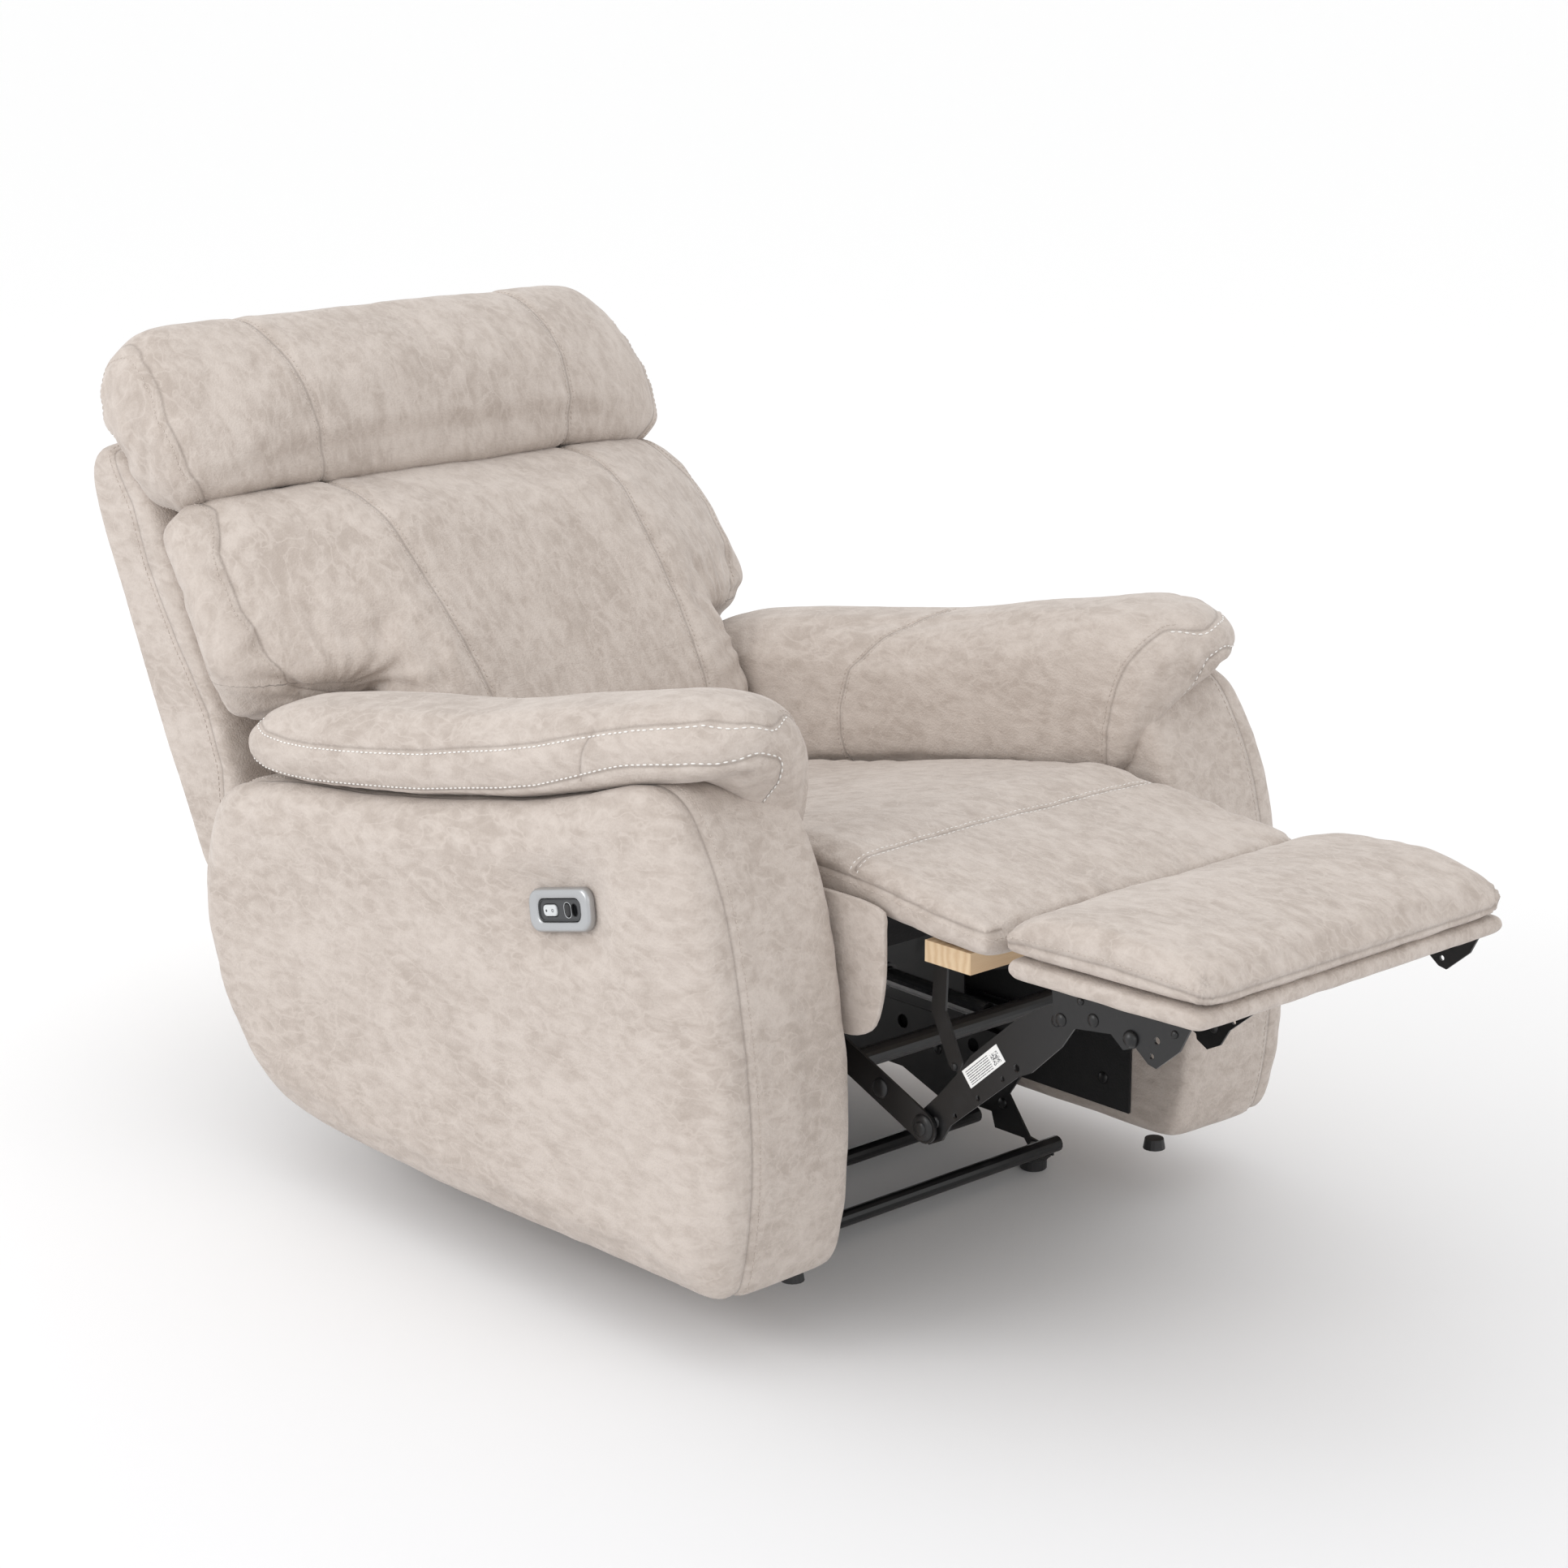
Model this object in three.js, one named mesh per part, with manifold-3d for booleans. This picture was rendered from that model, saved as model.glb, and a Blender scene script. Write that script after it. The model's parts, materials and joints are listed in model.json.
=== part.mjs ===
// Power recliner armchair, shown reclined with its leg rest up. Millimetres, +Z up.
// X is the chair's width, with the sitter's right arm at -X. The chair faces -Y.
// Lengths along Y are measured from the bottom front edge of the arms, and the whole
// group is then moved so that its origin is the middle of its footprint on the floor.
import * as THREE from "three";
import { mergeVertices } from "three/addons/utils/BufferGeometryUtils.js";
import Module from "manifold-3d";

const wasm = await Module();
wasm.setup();

// ---- driving dimensions ----
const ORIGIN_Y = 388.21; // middle of the chair's length, behind the arm fronts
const GAP = 0.4; // clearance between pieces that touch
const SOFT_GAP = 3; // clearance left round soft pieces

const ARM_INNER = 260; // half of the width between the arms
const ARM_SEAM = 401; // half width at the arms' front seam
const ARM_OUTER = 446; // half width over the arms' padded sides
const ARM_NOTCH = 287; // inner edge of the arm frame under the pad's drop
const LINING = 3.4; // black board on the arm's inner face
const PAD_INNER = 246; // half of the width between the arm pads
const PAD_OUTER = 430;
const PAD_CREST = 338; // half width at which an arm pad is highest

const SEAT_HALF = 238;
const BRIDGE_HALF = 246;
const FOOT_HALF_REAR = 246;
const FOOT_HALF_FRONT = 234;
const BACK_HALF = 394;
const SHELL_HALF = 352;
const HEAD_HALF = 376;
const LUMBAR_HALF = 240;

const TUBE_RADIUS = 9.5;
const TUBE_Z = 31;
const TUBE_FRONT_Y = 160;
const TUBE_REAR_Y = 292;
const FOOT_PAD = { radius: 16, height: 15, x: 233, front: 186, rear: 690 };
const STEEL = 3; // thickness of the linkage plates
const LAYER = { base: 246, seat: 229, bracket: 222, link: 214.5, strap: 206 };
const PANEL = { x0: 247.6, x1: 253 };

// Pivots of the linkage, as [y, z] with the leg rest up.
const BRIDGE_PIVOT = [-50, 455];
const FOOT_PIVOT = [-197, 455];
const DRIVE_PIVOT = [120, 330];
const KNEE_PIVOT = [-88, 243];
const BRACKET_PIVOT = [-275, 406];
const BACK_PIVOT = [720, 322];
const MOTOR_PIVOT = [560, 296];
const TORQUE_TUBE = [25, 283];

// The drive: its gearbox, the sleeve in front of it, and how far the rod reaches into it.
const MOTOR = { radius: 27, length: 96, sleeveStart: 36, sleeve: 330, overlap: 46, rodEnd: 14 };

const CONTROL = { y: 224, z: 449, length: 103, height: 48, tilt: (-13 * Math.PI) / 180 };
const POCKET_FLOOR = 431; // half width at the floor of the control's pocket

// ---- finishes ----
const finish = (color, roughness, metalness) =>
  new THREE.MeshStandardMaterial({ color, roughness, metalness });
const LEATHER = { color: 0xcbbdb0, roughness: 0.78, metalness: 0 };
const STEEL_BLACK = { color: 0x17181a, roughness: 0.5, metalness: 0.6 };
const PLASTIC_BLACK = { color: 0x141416, roughness: 0.6, metalness: 0 };
const LINING_BLACK = { color: 0x0c0c0d, roughness: 0.95, metalness: 0 };
const PINE = { color: 0xd9bf98, roughness: 0.7, metalness: 0 };
const SILVER = { color: 0xb9bec0, roughness: 0.32, metalness: 0.9 };
const GREY_PLASTIC = { color: 0xd4d7d8, roughness: 0.4, metalness: 0 };
const PAPER = { color: 0xe9e9e7, roughness: 0.8, metalness: 0 };

const part = new THREE.Group();
part.position.y = -ORIGIN_Y;

function add(name, geometry, look) {
  const mesh = new THREE.Mesh(geometry, finish(look.color, look.roughness, look.metalness));
  mesh.name = name;
  part.add(mesh);
  return mesh;
}

// Adds a piece on the sitter's right and its mirror image on the left.
function addPair(name, geometry, look) {
  add(`${name}_right`, geometry, look);
  add(`${name}_left`, mirrored(geometry), look);
}

// ---- solids ----
function merged(geometry) {
  const bare = geometry.clone();
  bare.deleteAttribute("normal");
  bare.deleteAttribute("uv");
  return mergeVertices(bare, 1e-4);
}

function toSolid(geometry) {
  const welded = merged(geometry);
  return new wasm.Manifold(
    new wasm.Mesh({
      numProp: 3,
      vertProperties: welded.attributes.position.array,
      triVerts: new Uint32Array(welded.index.array),
    }),
  );
}

function toGeometry(solid) {
  const mesh = solid.getMesh();
  const geometry = new THREE.BufferGeometry();
  geometry.setAttribute("position", new THREE.BufferAttribute(mesh.vertProperties, 3));
  geometry.setIndex(new THREE.BufferAttribute(mesh.triVerts, 1));
  return geometry;
}

function cut(geometry, ...tools) {
  const left = tools.reduce((solid, tool) => solid.subtract(toSolid(tool)), toSolid(geometry));
  return toGeometry(left);
}

function join(...geometries) {
  const [first, ...others] = geometries.map(toSolid);
  return toGeometry(others.reduce((solid, other) => solid.add(other), first));
}

function mirrored(geometry) {
  const copy = merged(geometry).scale(-1, 1, 1);
  const index = copy.index.array;
  for (let i = 0; i < index.length; i += 3) {
    [index[i + 1], index[i + 2]] = [index[i + 2], index[i + 1]];
  }
  return copy;
}

// ---- outlines in the chair's side view, as [y, z] ----
function smooth(points, count) {
  const curve = new THREE.CatmullRomCurve3(
    points.map(([y, z]) => new THREE.Vector3(0, y, z)),
    true,
    "centripetal",
  );
  return curve.getSpacedPoints(count).slice(0, count).map((p) => [p.y, p.z]);
}

function middleOf(outline) {
  const sum = outline.reduce(([a, b], [y, z]) => [a + y, b + z], [0, 0]);
  return sum.map((v) => v / outline.length);
}

// Draws an outline in by a distance, towards its middle.
function drawnIn(outline, distance) {
  const [cy, cz] = middleOf(outline);
  return outline.map(([y, z]) => {
    const reach = Math.hypot(y - cy, z - cz);
    const k = Math.max(0.05, (reach - distance) / reach);
    return [cy + (y - cy) * k, cz + (z - cz) * k];
  });
}

// A closed skin over rings of points that all have the same count.
function loft(rings) {
  const count = rings[0].length;
  const points = rings.flat();
  const faces = [];
  for (let r = 0; r + 1 < rings.length; r += 1) {
    for (let i = 0; i < count; i += 1) {
      const a = r * count + i;
      const b = r * count + ((i + 1) % count);
      faces.push(a, b, b + count, a, b + count, a + count);
    }
  }
  const closeEnd = (start, turned) => {
    const ring = points.slice(start, start + count);
    const centre = ring.reduce((s, p) => s.add(p), new THREE.Vector3()).divideScalar(count);
    const hub = points.push(centre) - 1;
    for (let i = 0; i < count; i += 1) {
      const [a, b] = [start + i, start + ((i + 1) % count)];
      faces.push(...(turned ? [hub, b, a] : [hub, a, b]));
    }
  };
  closeEnd(0, true);
  closeEnd((rings.length - 1) * count, false);
  const geometry = new THREE.BufferGeometry();
  const places = points.flatMap((p) => p.toArray());
  geometry.setAttribute("position", new THREE.Float32BufferAttribute(places, 3));
  geometry.setIndex(faces);
  return volume(geometry) < 0 ? turnedOut(geometry) : geometry;
}

function volume(geometry) {
  const [a, b, c] = [new THREE.Vector3(), new THREE.Vector3(), new THREE.Vector3()];
  const { position } = geometry.attributes;
  let sum = 0;
  for (let i = 0; i < geometry.index.count; i += 3) {
    a.fromBufferAttribute(position, geometry.index.getX(i));
    b.fromBufferAttribute(position, geometry.index.getX(i + 1));
    c.fromBufferAttribute(position, geometry.index.getX(i + 2));
    sum += a.dot(b.cross(c));
  }
  return sum;
}

function turnedOut(geometry) {
  const index = geometry.index.array;
  for (let i = 0; i < index.length; i += 3) {
    [index[i + 1], index[i + 2]] = [index[i + 2], index[i + 1]];
  }
  return geometry;
}

// A cushion: one side outline repeated across the width, drawn in towards its ends.
// Each layer is [x, distance drawn in].
function cushion(outline, layers) {
  return loft(
    layers.map(([x, inset]) => drawnIn(outline, inset).map(([y, z]) => new THREE.Vector3(x, y, z))),
  );
}

const bothSides = (layers) => [...layers.map(([x, d]) => [-x, d]), ...[...layers].reverse()];

// ---- steel plates, cut from an outline in the side view and standing at one x ----
const SIDEWAYS = new THREE.Matrix4().makeBasis(
  new THREE.Vector3(0, 1, 0),
  new THREE.Vector3(0, 0, 1),
  new THREE.Vector3(1, 0, 0),
);

function plate(shape, x, thickness) {
  return new THREE.ExtrudeGeometry(shape, {
    depth: thickness,
    bevelEnabled: false,
    curveSegments: 5,
  })
    .applyMatrix4(SIDEWAYS)
    .translate(x, 0, 0);
}

function polygon(points, holes = []) {
  const shape = new THREE.Shape(points.map(([y, z]) => new THREE.Vector2(y, z)));
  shape.holes = holes.map(([y, z, radius]) => circle(y, z, radius));
  return shape;
}

const circle = (y, z, radius) => new THREE.Path().absarc(y, z, radius, 0, 2 * Math.PI, true);

// A bar with round ends round two pivots.
function bar([y0, z0], [y1, z1], radius, holes = []) {
  const heading = Math.atan2(z1 - z0, y1 - y0);
  const shape = new THREE.Shape();
  shape.absarc(y0, z0, radius, heading + Math.PI / 2, heading + 1.5 * Math.PI, false);
  shape.absarc(y1, z1, radius, heading - Math.PI / 2, heading + Math.PI / 2, false);
  shape.closePath();
  shape.holes = holes.map(([y, z, r]) => circle(y, z, r));
  return shape;
}

// A plate on the sitter's right: its outer face is at -x - thickness.
const rightPlate = (shape, x, thickness = STEEL) => plate(shape, -x - thickness, thickness);

function along([y0, z0], [y1, z1], share, side = 0) {
  const length = Math.hypot(y1 - y0, z1 - z0);
  const [ny, nz] = [-(z1 - z0) / length, (y1 - y0) / length];
  return [y0 + (y1 - y0) * share + ny * side, z0 + (z1 - z0) * share + nz * side];
}

function rod([y, z], x0, x1, radius, sides = 14) {
  return new THREE.CylinderGeometry(radius, radius, x1 - x0, sides)
    .rotateZ(Math.PI / 2)
    .translate((x0 + x1) / 2, y, z);
}

const block = (x0, x1, y0, y1, z0, z1) =>
  new THREE.BoxGeometry(x1 - x0, y1 - y0, z1 - z0).translate((x0 + x1) / 2, (y0 + y1) / 2, (z0 + z1) / 2);

// ---- arms ----
const ARM_OUTLINE = [
  [0, 76], [210, 73], [430, 70], [660, 75], [780, 96], [862, 172], [906, 262], [908, 335],
  [868, 428], [800, 452], [560, 482], [360, 518], [230, 552], [120, 592], [66, 576],
  [22, 486], [-8, 380], [-24, 250], [-20, 160],
];

function armBody() {
  const side = smooth(ARM_OUTLINE, 40);
  const body = cushion(side, [
    [-ARM_OUTER, 90],
    [-ARM_OUTER + 3, 58],
    [-ARM_OUTER + 12, 26],
    [-ARM_OUTER + 26, 8],
    [-ARM_SEAM, 1],
    [-ARM_SEAM + 40, 0],
    [-ARM_INNER, 0],
  ]);
  const underDrop = plate(
    polygon([
      [40, 478], [98, 482], [256, 450], [400, 422], [712, 362], [760, 362], [920, 420], [920, 640], [40, 640],
    ]),
    -ARM_NOTCH,
    ARM_NOTCH - ARM_INNER + 10,
  );
  return { body, underDrop };
}

// Sections across an arm pad: the heights of its crest and of its lower outer and inner
// edges, then its outer and inner half widths.
const PAD_STATIONS = [
  // y, crest, outer edge, inner edge, outer half width, inner half width
  [16, 652, 626, 620, 366, 306],
  [24, 668, 618, 604, 384, 288],
  [44, 680, 613, 576, 402, 268],
  [80, 686, 609, 522, 417, 254],
  [125, 682, 602, 503, 427, PAD_INNER],
  [220, 662, 576, 478, PAD_OUTER, PAD_INNER],
  [340, 632, 544, 452, PAD_OUTER, PAD_INNER],
  [480, 602, 518, 424, PAD_OUTER, PAD_INNER],
  [620, 580, 496, 398, PAD_OUTER, PAD_INNER],
  [730, 564, 483, 384, PAD_OUTER, PAD_INNER],
  [815, 544, 481, 392, PAD_OUTER - 2, PAD_INNER + 2],
  [858, 524, 492, 440, PAD_OUTER - 30, PAD_INNER + 16],
];

// Points round an arm pad's section, as [half width, height]. The pad lies over the arm
// and drops down its inner side as far as the seat.
function padSection([y, crest, outer, inner, outerHalf, innerHalf]) {
  const rise = crest - outer;
  const overArm = Math.max(inner + 6, outer + 2) + (y < 60 ? 0 : 4);
  const dropEdge = Math.max(ARM_NOTCH - 12, innerHalf + 10);
  return [
    [outerHalf - 8, outer],
    [outerHalf, outer + rise * 0.34],
    [outerHalf - 12, outer + rise * 0.7],
    [Math.min(PAD_CREST + 40, outerHalf - 24), crest - 9],
    [Math.min(PAD_CREST - 8, outerHalf - 34), crest],
    [Math.max(PAD_CREST - 44, innerHalf + 14), crest - 10],
    [innerHalf + 10, crest - 34 * Math.min(1, rise / 60)],
    [innerHalf, inner + (crest - inner) * 0.5],
    [innerHalf, inner + (crest - inner) * 0.22],
    [innerHalf + 8, inner],
    [dropEdge, inner + 4],
    [dropEdge + 8, overArm],
    [dropEdge + 30, overArm + 2],
    [Math.min(ARM_SEAM - 20, outerHalf - 16), outer + 6],
  ];
}

function armPad() {
  return loft(
    PAD_STATIONS.map((station) =>
      padSection(station).map(([x, z]) => new THREE.Vector3(-x, station[0], z)),
    ),
  );
}

function armLining() {
  const outline = polygon(
    [
      [60, 96], [660, 96], [780, 112], [850, 190], [880, 270], [860, 352], [712, 352], [400, 410], [98, 470],
      [60, 470],
    ],
  );
  return plate(outline, -ARM_INNER + GAP, LINING);
}

function makeArms() {
  const { body, underDrop } = armBody();
  const pad = armPad();
  const padRoom = grown(pad, SOFT_GAP);
  const trimmed = cut(body, underDrop, padRoom);
  const pocket = controlOutline(CONTROL.length + 1, CONTROL.height + 1, 15);
  add("arm_right", cut(trimmed, plate(pocket, -ARM_OUTER - 5, ARM_OUTER + 5 - POCKET_FLOOR)), LEATHER);
  add("arm_left", mirrored(trimmed), LEATHER);
  addPair("arm_pad", pad, LEATHER);
  addPair("arm_lining", armLining(), LINING_BLACK);
}

// A copy of a solid with its skin pushed out, used to clear room round it.
function grown(geometry, distance) {
  const copy = merged(geometry);
  copy.computeVertexNormals();
  const { position, normal } = copy.attributes;
  for (let i = 0; i < position.count; i += 1) {
    position.setXYZ(
      i,
      position.getX(i) + normal.getX(i) * distance,
      position.getY(i) + normal.getY(i) * distance,
      position.getZ(i) + normal.getZ(i) * distance,
    );
  }
  copy.deleteAttribute("normal");
  return copy;
}

// ---- control panel, let into the right arm's outer face ----
function controlOutline(length, height, radius) {
  const [h, v] = [length / 2 - radius, height / 2 - radius];
  const corners = [[h, v], [-h, v], [-h, -v], [h, -v]];
  const shape = new THREE.Shape();
  corners.forEach(([y, z], i) => {
    shape.absarc(y, z, radius, (i * Math.PI) / 2, ((i + 1) * Math.PI) / 2, false);
  });
  const points = shape.getPoints(4).slice(0, -1);
  const [c, s] = [Math.cos(CONTROL.tilt), Math.sin(CONTROL.tilt)];
  return new THREE.Shape(
    points.map((p) => new THREE.Vector2(CONTROL.y + p.x * c - p.y * s, CONTROL.z + p.x * s + p.y * c)),
  );
}

// A point on the control's face, from its middle, turned with the panel.
function onControl(y, z) {
  const [c, s] = [Math.cos(CONTROL.tilt), Math.sin(CONTROL.tilt)];
  return [CONTROL.y + y * c - z * s, CONTROL.z + y * s + z * c];
}

function shiftedOutline(y, z, length, height, radius) {
  const [cy, cz] = onControl(y, z);
  const shape = controlOutline(length, height, radius);
  return new THREE.Shape(
    shape.getPoints().map((p) => new THREE.Vector2(p.x + cy - CONTROL.y, p.y + cz - CONTROL.z)),
  );
}

function makeControl() {
  const floor = -POCKET_FLOOR - GAP;
  const bezelFace = -ARM_OUTER;
  const window = controlOutline(70, 24, 9);
  const bezel = plate(controlOutline(CONTROL.length, CONTROL.height, 14.5), bezelFace, floor - bezelFace);
  add("control_bezel", cut(bezel, plate(window, bezelFace - 5, 30)), SILVER);

  const insetFace = floor - 11;
  const inset = plate(controlOutline(70 - 2 * GAP, 24 - 2 * GAP, 8.6), insetFace, floor - insetFace);
  const rockerHole = shiftedOutline(15, 0, 24, 14, 5);
  const buttonHole = shiftedOutline(-13, 0, 10, 15, 4.8);
  const socketHole = shiftedOutline(-24, 0, 9, 13, 4.4);
  const cutouts = [rockerHole, buttonHole, socketHole].map((s) => plate(s, insetFace - 5, 12));
  add("control_inset", cut(inset, ...cutouts), PLASTIC_BLACK);

  const pocketFloor = insetFace + 7;
  add(
    "rocker_switch",
    plate(shiftedOutline(15, 0, 22.4, 12.4, 4.4), insetFace - 1.6, pocketFloor - 1.6 - insetFace),
    GREY_PLASTIC,
  );
  add(
    "memory_button",
    plate(shiftedOutline(-13, 0, 8.8, 13.8, 4.2), insetFace - 0.8, pocketFloor - 2.6 - insetFace),
    PLASTIC_BLACK,
  );
}

// ---- base frame ----
function basePlate() {
  const outline = [
    [168, 16.4], [206, 16.4], [214, 26], [262, 26], [268, 45], [318, 45], [330, 30], [420, 62], [560, 62],
    [660, 20], [672, 16.4], [708, 16.4], [712, 34], [690, 120], [676, 190], [206, 190], [214, 112], [240, 74],
    [206, 30], [168, 24],
  ];
  return rightPlate(polygon(outline, [[300, 120, 9], [420, 120, 9], [560, 120, 9]]), LAYER.base);
}

function crossTube(y, endX) {
  return rod([y, TUBE_Z + 4], -endX, endX, TUBE_RADIUS);
}

function makeBase() {
  const { radius, height } = FOOT_PAD;
  const profile = [
    [0, 0], [radius - 1.5, 0], [radius, 1.5], [radius, height - 3], [radius + 1.5, height - 2],
    [radius + 1.5, height], [0, height],
  ];
  const foot = (y) =>
    new THREE.LatheGeometry(profile.map(([r, z]) => new THREE.Vector2(r, z)), 20)
      .rotateX(Math.PI / 2)
      .translate(-FOOT_PAD.x, y, 0);
  addPair("foot_front", foot(FOOT_PAD.front), PLASTIC_BLACK);
  addPair("foot_rear", foot(FOOT_PAD.rear), PLASTIC_BLACK);
  addPair("base_plate", basePlate(), STEEL_BLACK);
  add("base_tube_front", crossTube(TUBE_FRONT_Y, LAYER.base - 1), STEEL_BLACK);
  add("base_tube_rear", crossTube(TUBE_REAR_Y, LAYER.base - 1), STEEL_BLACK);
  addPair("arm_bracket", armBracket(), STEEL_BLACK);
  const glide = new THREE.CylinderGeometry(11, 13, 12, 16)
    .rotateX(Math.PI / 2)
    .translate(-ARM_INNER - 24, 44, 58);
  addPair("arm_glide", glide, PLASTIC_BLACK);
  addPair("guide_rail", guideRail(), STEEL_BLACK);
}

// An angle that bolts the arm's lining board to the base plate.
function armBracket() {
  const [x0, x1] = [-ARM_INNER + GAP + LINING + GAP, -LAYER.base - STEEL - GAP];
  return join(
    block(x0, x0 + 3, 430, 500, 100, 170),
    block(x0, x1, 430, 500, 100, 103),
    block(x1 - 3, x1, 430, 500, 70, 103),
  );
}

// A channel on the base plate's inner face in which the seat's glide runs.
function guideRail() {
  const [outer, inner] = [-LAYER.base + GAP, -LAYER.base + GAP + 12];
  return join(
    block(outer, outer + 2, 222, 668, 148, 186),
    block(outer, inner, 222, 668, 148, 150),
    block(outer, inner, 222, 668, 184, 186),
  );
}

// ---- seat box ----
function seatCushion() {
  const outline = [
    [BRIDGE_PIVOT[0] + 2, 457.5], [BRIDGE_PIVOT[0] + 2, 494], [-34, 500], [6, 507], [90, 512],
    [256, 484], [400, 452], [572, 420], [690, 398], [700, 384], [690, 362], [560, 366], [300, 392],
    [120, 420], [90, 457.5],
  ];
  return cushion(outline, bothSides([[SEAT_HALF, 9], [SEAT_HALF - 9, 1], [SEAT_HALF - 60, 0]]));
}

function seatSidePanel() {
  const outline = [
    [-55, 452], [-56, 400], [-50, 362], [-38, 338], [-6, 328], [640, 328], [700, 352], [700, 370],
    [635, 375], [525, 389], [385, 415], [245, 443], [125, 469], [60, 476], [-50, 478],
  ];
  return plate(polygon(outline), -PANEL.x1, PANEL.x1 - PANEL.x0);
}

function seatPlate() {
  const outline = [
    [80, 300], [150, 262], [300, 214], [300, 158], [600, 158], [600, 230], [690, 292], [752, 300], [756, 340],
    [700, 346], [560, 350], [300, 352], [110, 352], [84, 338],
  ];
  return rightPlate(polygon(outline, [[330, 300, 8], [450, 300, 8]]), LAYER.seat);
}

function makeSeat() {
  add("seat_cushion", seatCushion(), LEATHER);
  addPair("seat_side_panel", seatSidePanel(), LEATHER);
  addPair("seat_plate", seatPlate(), STEEL_BLACK);
  const rail = LAYER.seat + STEEL;
  add("seat_front_rail", block(-rail, rail, 104, 126, 362, 402), PINE);
  add("seat_rear_rail", block(-rail, rail, 640, 662, 352, 357.2), PINE);
  add("seat_deck", block(-rail, rail, 127, 639, 357.6, 360.6), LINING_BLACK);
  const crossBar = rod([MOTOR_PIVOT[0] + 92, 312], -LAYER.seat + GAP, LAYER.seat - GAP, 11);
  add("seat_cross_bar", crossBar, STEEL_BLACK);
  const glideFace = -LAYER.seat - STEEL - GAP;
  const glide = block(glideFace - 10.8, glideFace, 310, 480, 151, 183);
  addPair("seat_glide", glide, PLASTIC_BLACK);
}

// ---- leg rest linkage ----
function makeDrive() {
  const arm = bar(DRIVE_PIVOT, KNEE_PIVOT, 17, [[...along(DRIVE_PIVOT, KNEE_PIVOT, 0.72), 4]]);
  addPair("drive_arm", rightPlate(arm, LAYER.bracket), STEEL_BLACK);
  add("torque_tube", rod(TORQUE_TUBE, -LAYER.bracket + GAP, LAYER.bracket - GAP, 11, 16), STEEL_BLACK);
}

function longLink() {
  const [k, b] = [KNEE_PIVOT, BRACKET_PIVOT];
  const at = (share, side) => along(k, b, share, side);
  const outline = [
    at(-0.075, 0), at(-0.05, 16), at(0.03, 21), at(0.12, 14), at(0.6, 17), at(0.68, 22), at(0.9, 20),
    at(1.03, 12), at(1.06, 0), at(1.02, -14), at(0.9, -24), at(0.74, -30), at(0.42, -30), at(0.3, -24),
    at(0.14, -19), at(0, -17), at(-0.05, -12),
  ];
  const holes = [0.17, 0.34, 0.52, 0.62].map((share) => [...at(share, 9), share > 0.6 ? 4.4 : 3.2]);
  return rightPlate(polygon(outline.reverse(), holes), LAYER.link);
}

function makeLinks() {
  addPair("long_link", longLink(), STEEL_BLACK);
  const [ly, lz] = along(KNEE_PIVOT, BRACKET_PIVOT, 0.46, -13);
  const heading = Math.atan2(BRACKET_PIVOT[1] - KNEE_PIVOT[1], BRACKET_PIVOT[0] - KNEE_PIVOT[0]);
  const label = new THREE.BoxGeometry(0.5, 62, 20)
    .rotateX(heading)
    .translate(-LAYER.link - STEEL - 0.3 - 0.25, ly, lz);
  add("link_label", label, PAPER);
}

// ---- bridge between the seat and the leg rest ----
function makeBridge() {
  const front = FOOT_PIVOT[0] + 3;
  const rear = BRIDGE_PIVOT[0] - 2;
  const outline = [
    [front, 447], [front + 2, 474], [-180, 481], [-130, 489], [-80, 496], [rear - 1, 498], [rear, 452],
    [-100, 449.5], [-150, 446.8],
  ];
  const layers = bothSides([[BRIDGE_HALF, 7], [BRIDGE_HALF - 7, 1], [BRIDGE_HALF - 50, 0]]);
  add("bridge_pad", cushion(outline, layers), LEATHER);
  add("bridge_board", block(-229, 229, -156, -92, 423, 445.6), PINE);
  const strap = polygon([
    [-104, 422.6], [-86, 422.6], [-82, 364], [-108, 312], [-122, 306], [-126, 318], [-102, 368],
  ].reverse());
  addPair("bridge_strap", rightPlate(strap, LAYER.strap), STEEL_BLACK);
}

// ---- leg rest ----
function tapered(geometry, y0, y1, half0, half1) {
  const { position } = geometry.attributes;
  for (let i = 0; i < position.count; i += 1) {
    const share = (position.getY(i) - y0) / (y1 - y0);
    position.setX(i, position.getX(i) * (1 + (half1 / half0 - 1) * share));
  }
  return geometry;
}

function makeLegRest() {
  const padOutline = [
    [-464, 461], [-466, 470], [-456, 484], [-430, 496], [-370, 504], [-300, 505], [-240, 498], [-208, 486],
    [-200, 474], [-203, 460],
  ];
  const layers = bothSides([[FOOT_HALF_REAR, 10], [FOOT_HALF_REAR - 8, 3], [FOOT_HALF_REAR - 40, 0]]);
  const pad = tapered(cushion(padOutline, layers), -200, -466, FOOT_HALF_REAR, FOOT_HALF_FRONT);
  add("leg_rest_pad", pad, LEATHER);
  const boardOutline = [[-456, 441], [-459, 450], [-456, 458], [-222, 458], [-218, 450], [-224, 440]];
  const board = tapered(
    cushion(boardOutline, bothSides([[FOOT_HALF_REAR, 2], [FOOT_HALF_REAR - 3, 0]])),
    -200,
    -466,
    FOOT_HALF_REAR,
    FOOT_HALF_FRONT,
  );
  add("leg_rest_board", board, LEATHER);
  const bracket = [
    [-262, 439.4], [-440, 439.4], [-426, 412], [-398, 388], [-388, 390], [-372, 402], [-356, 396],
    [-340, 408], [-296, 402], [-280, 397], [-266, 402],
  ];
  const holes = [[-275, 408, 4.6], [-317, 416, 4], [-366, 410, 5], [-398, 416, 4], [-392, 399, 3]];
  addPair("leg_rest_bracket", rightPlate(polygon(bracket, holes), LAYER.bracket), STEEL_BLACK);
}

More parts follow.
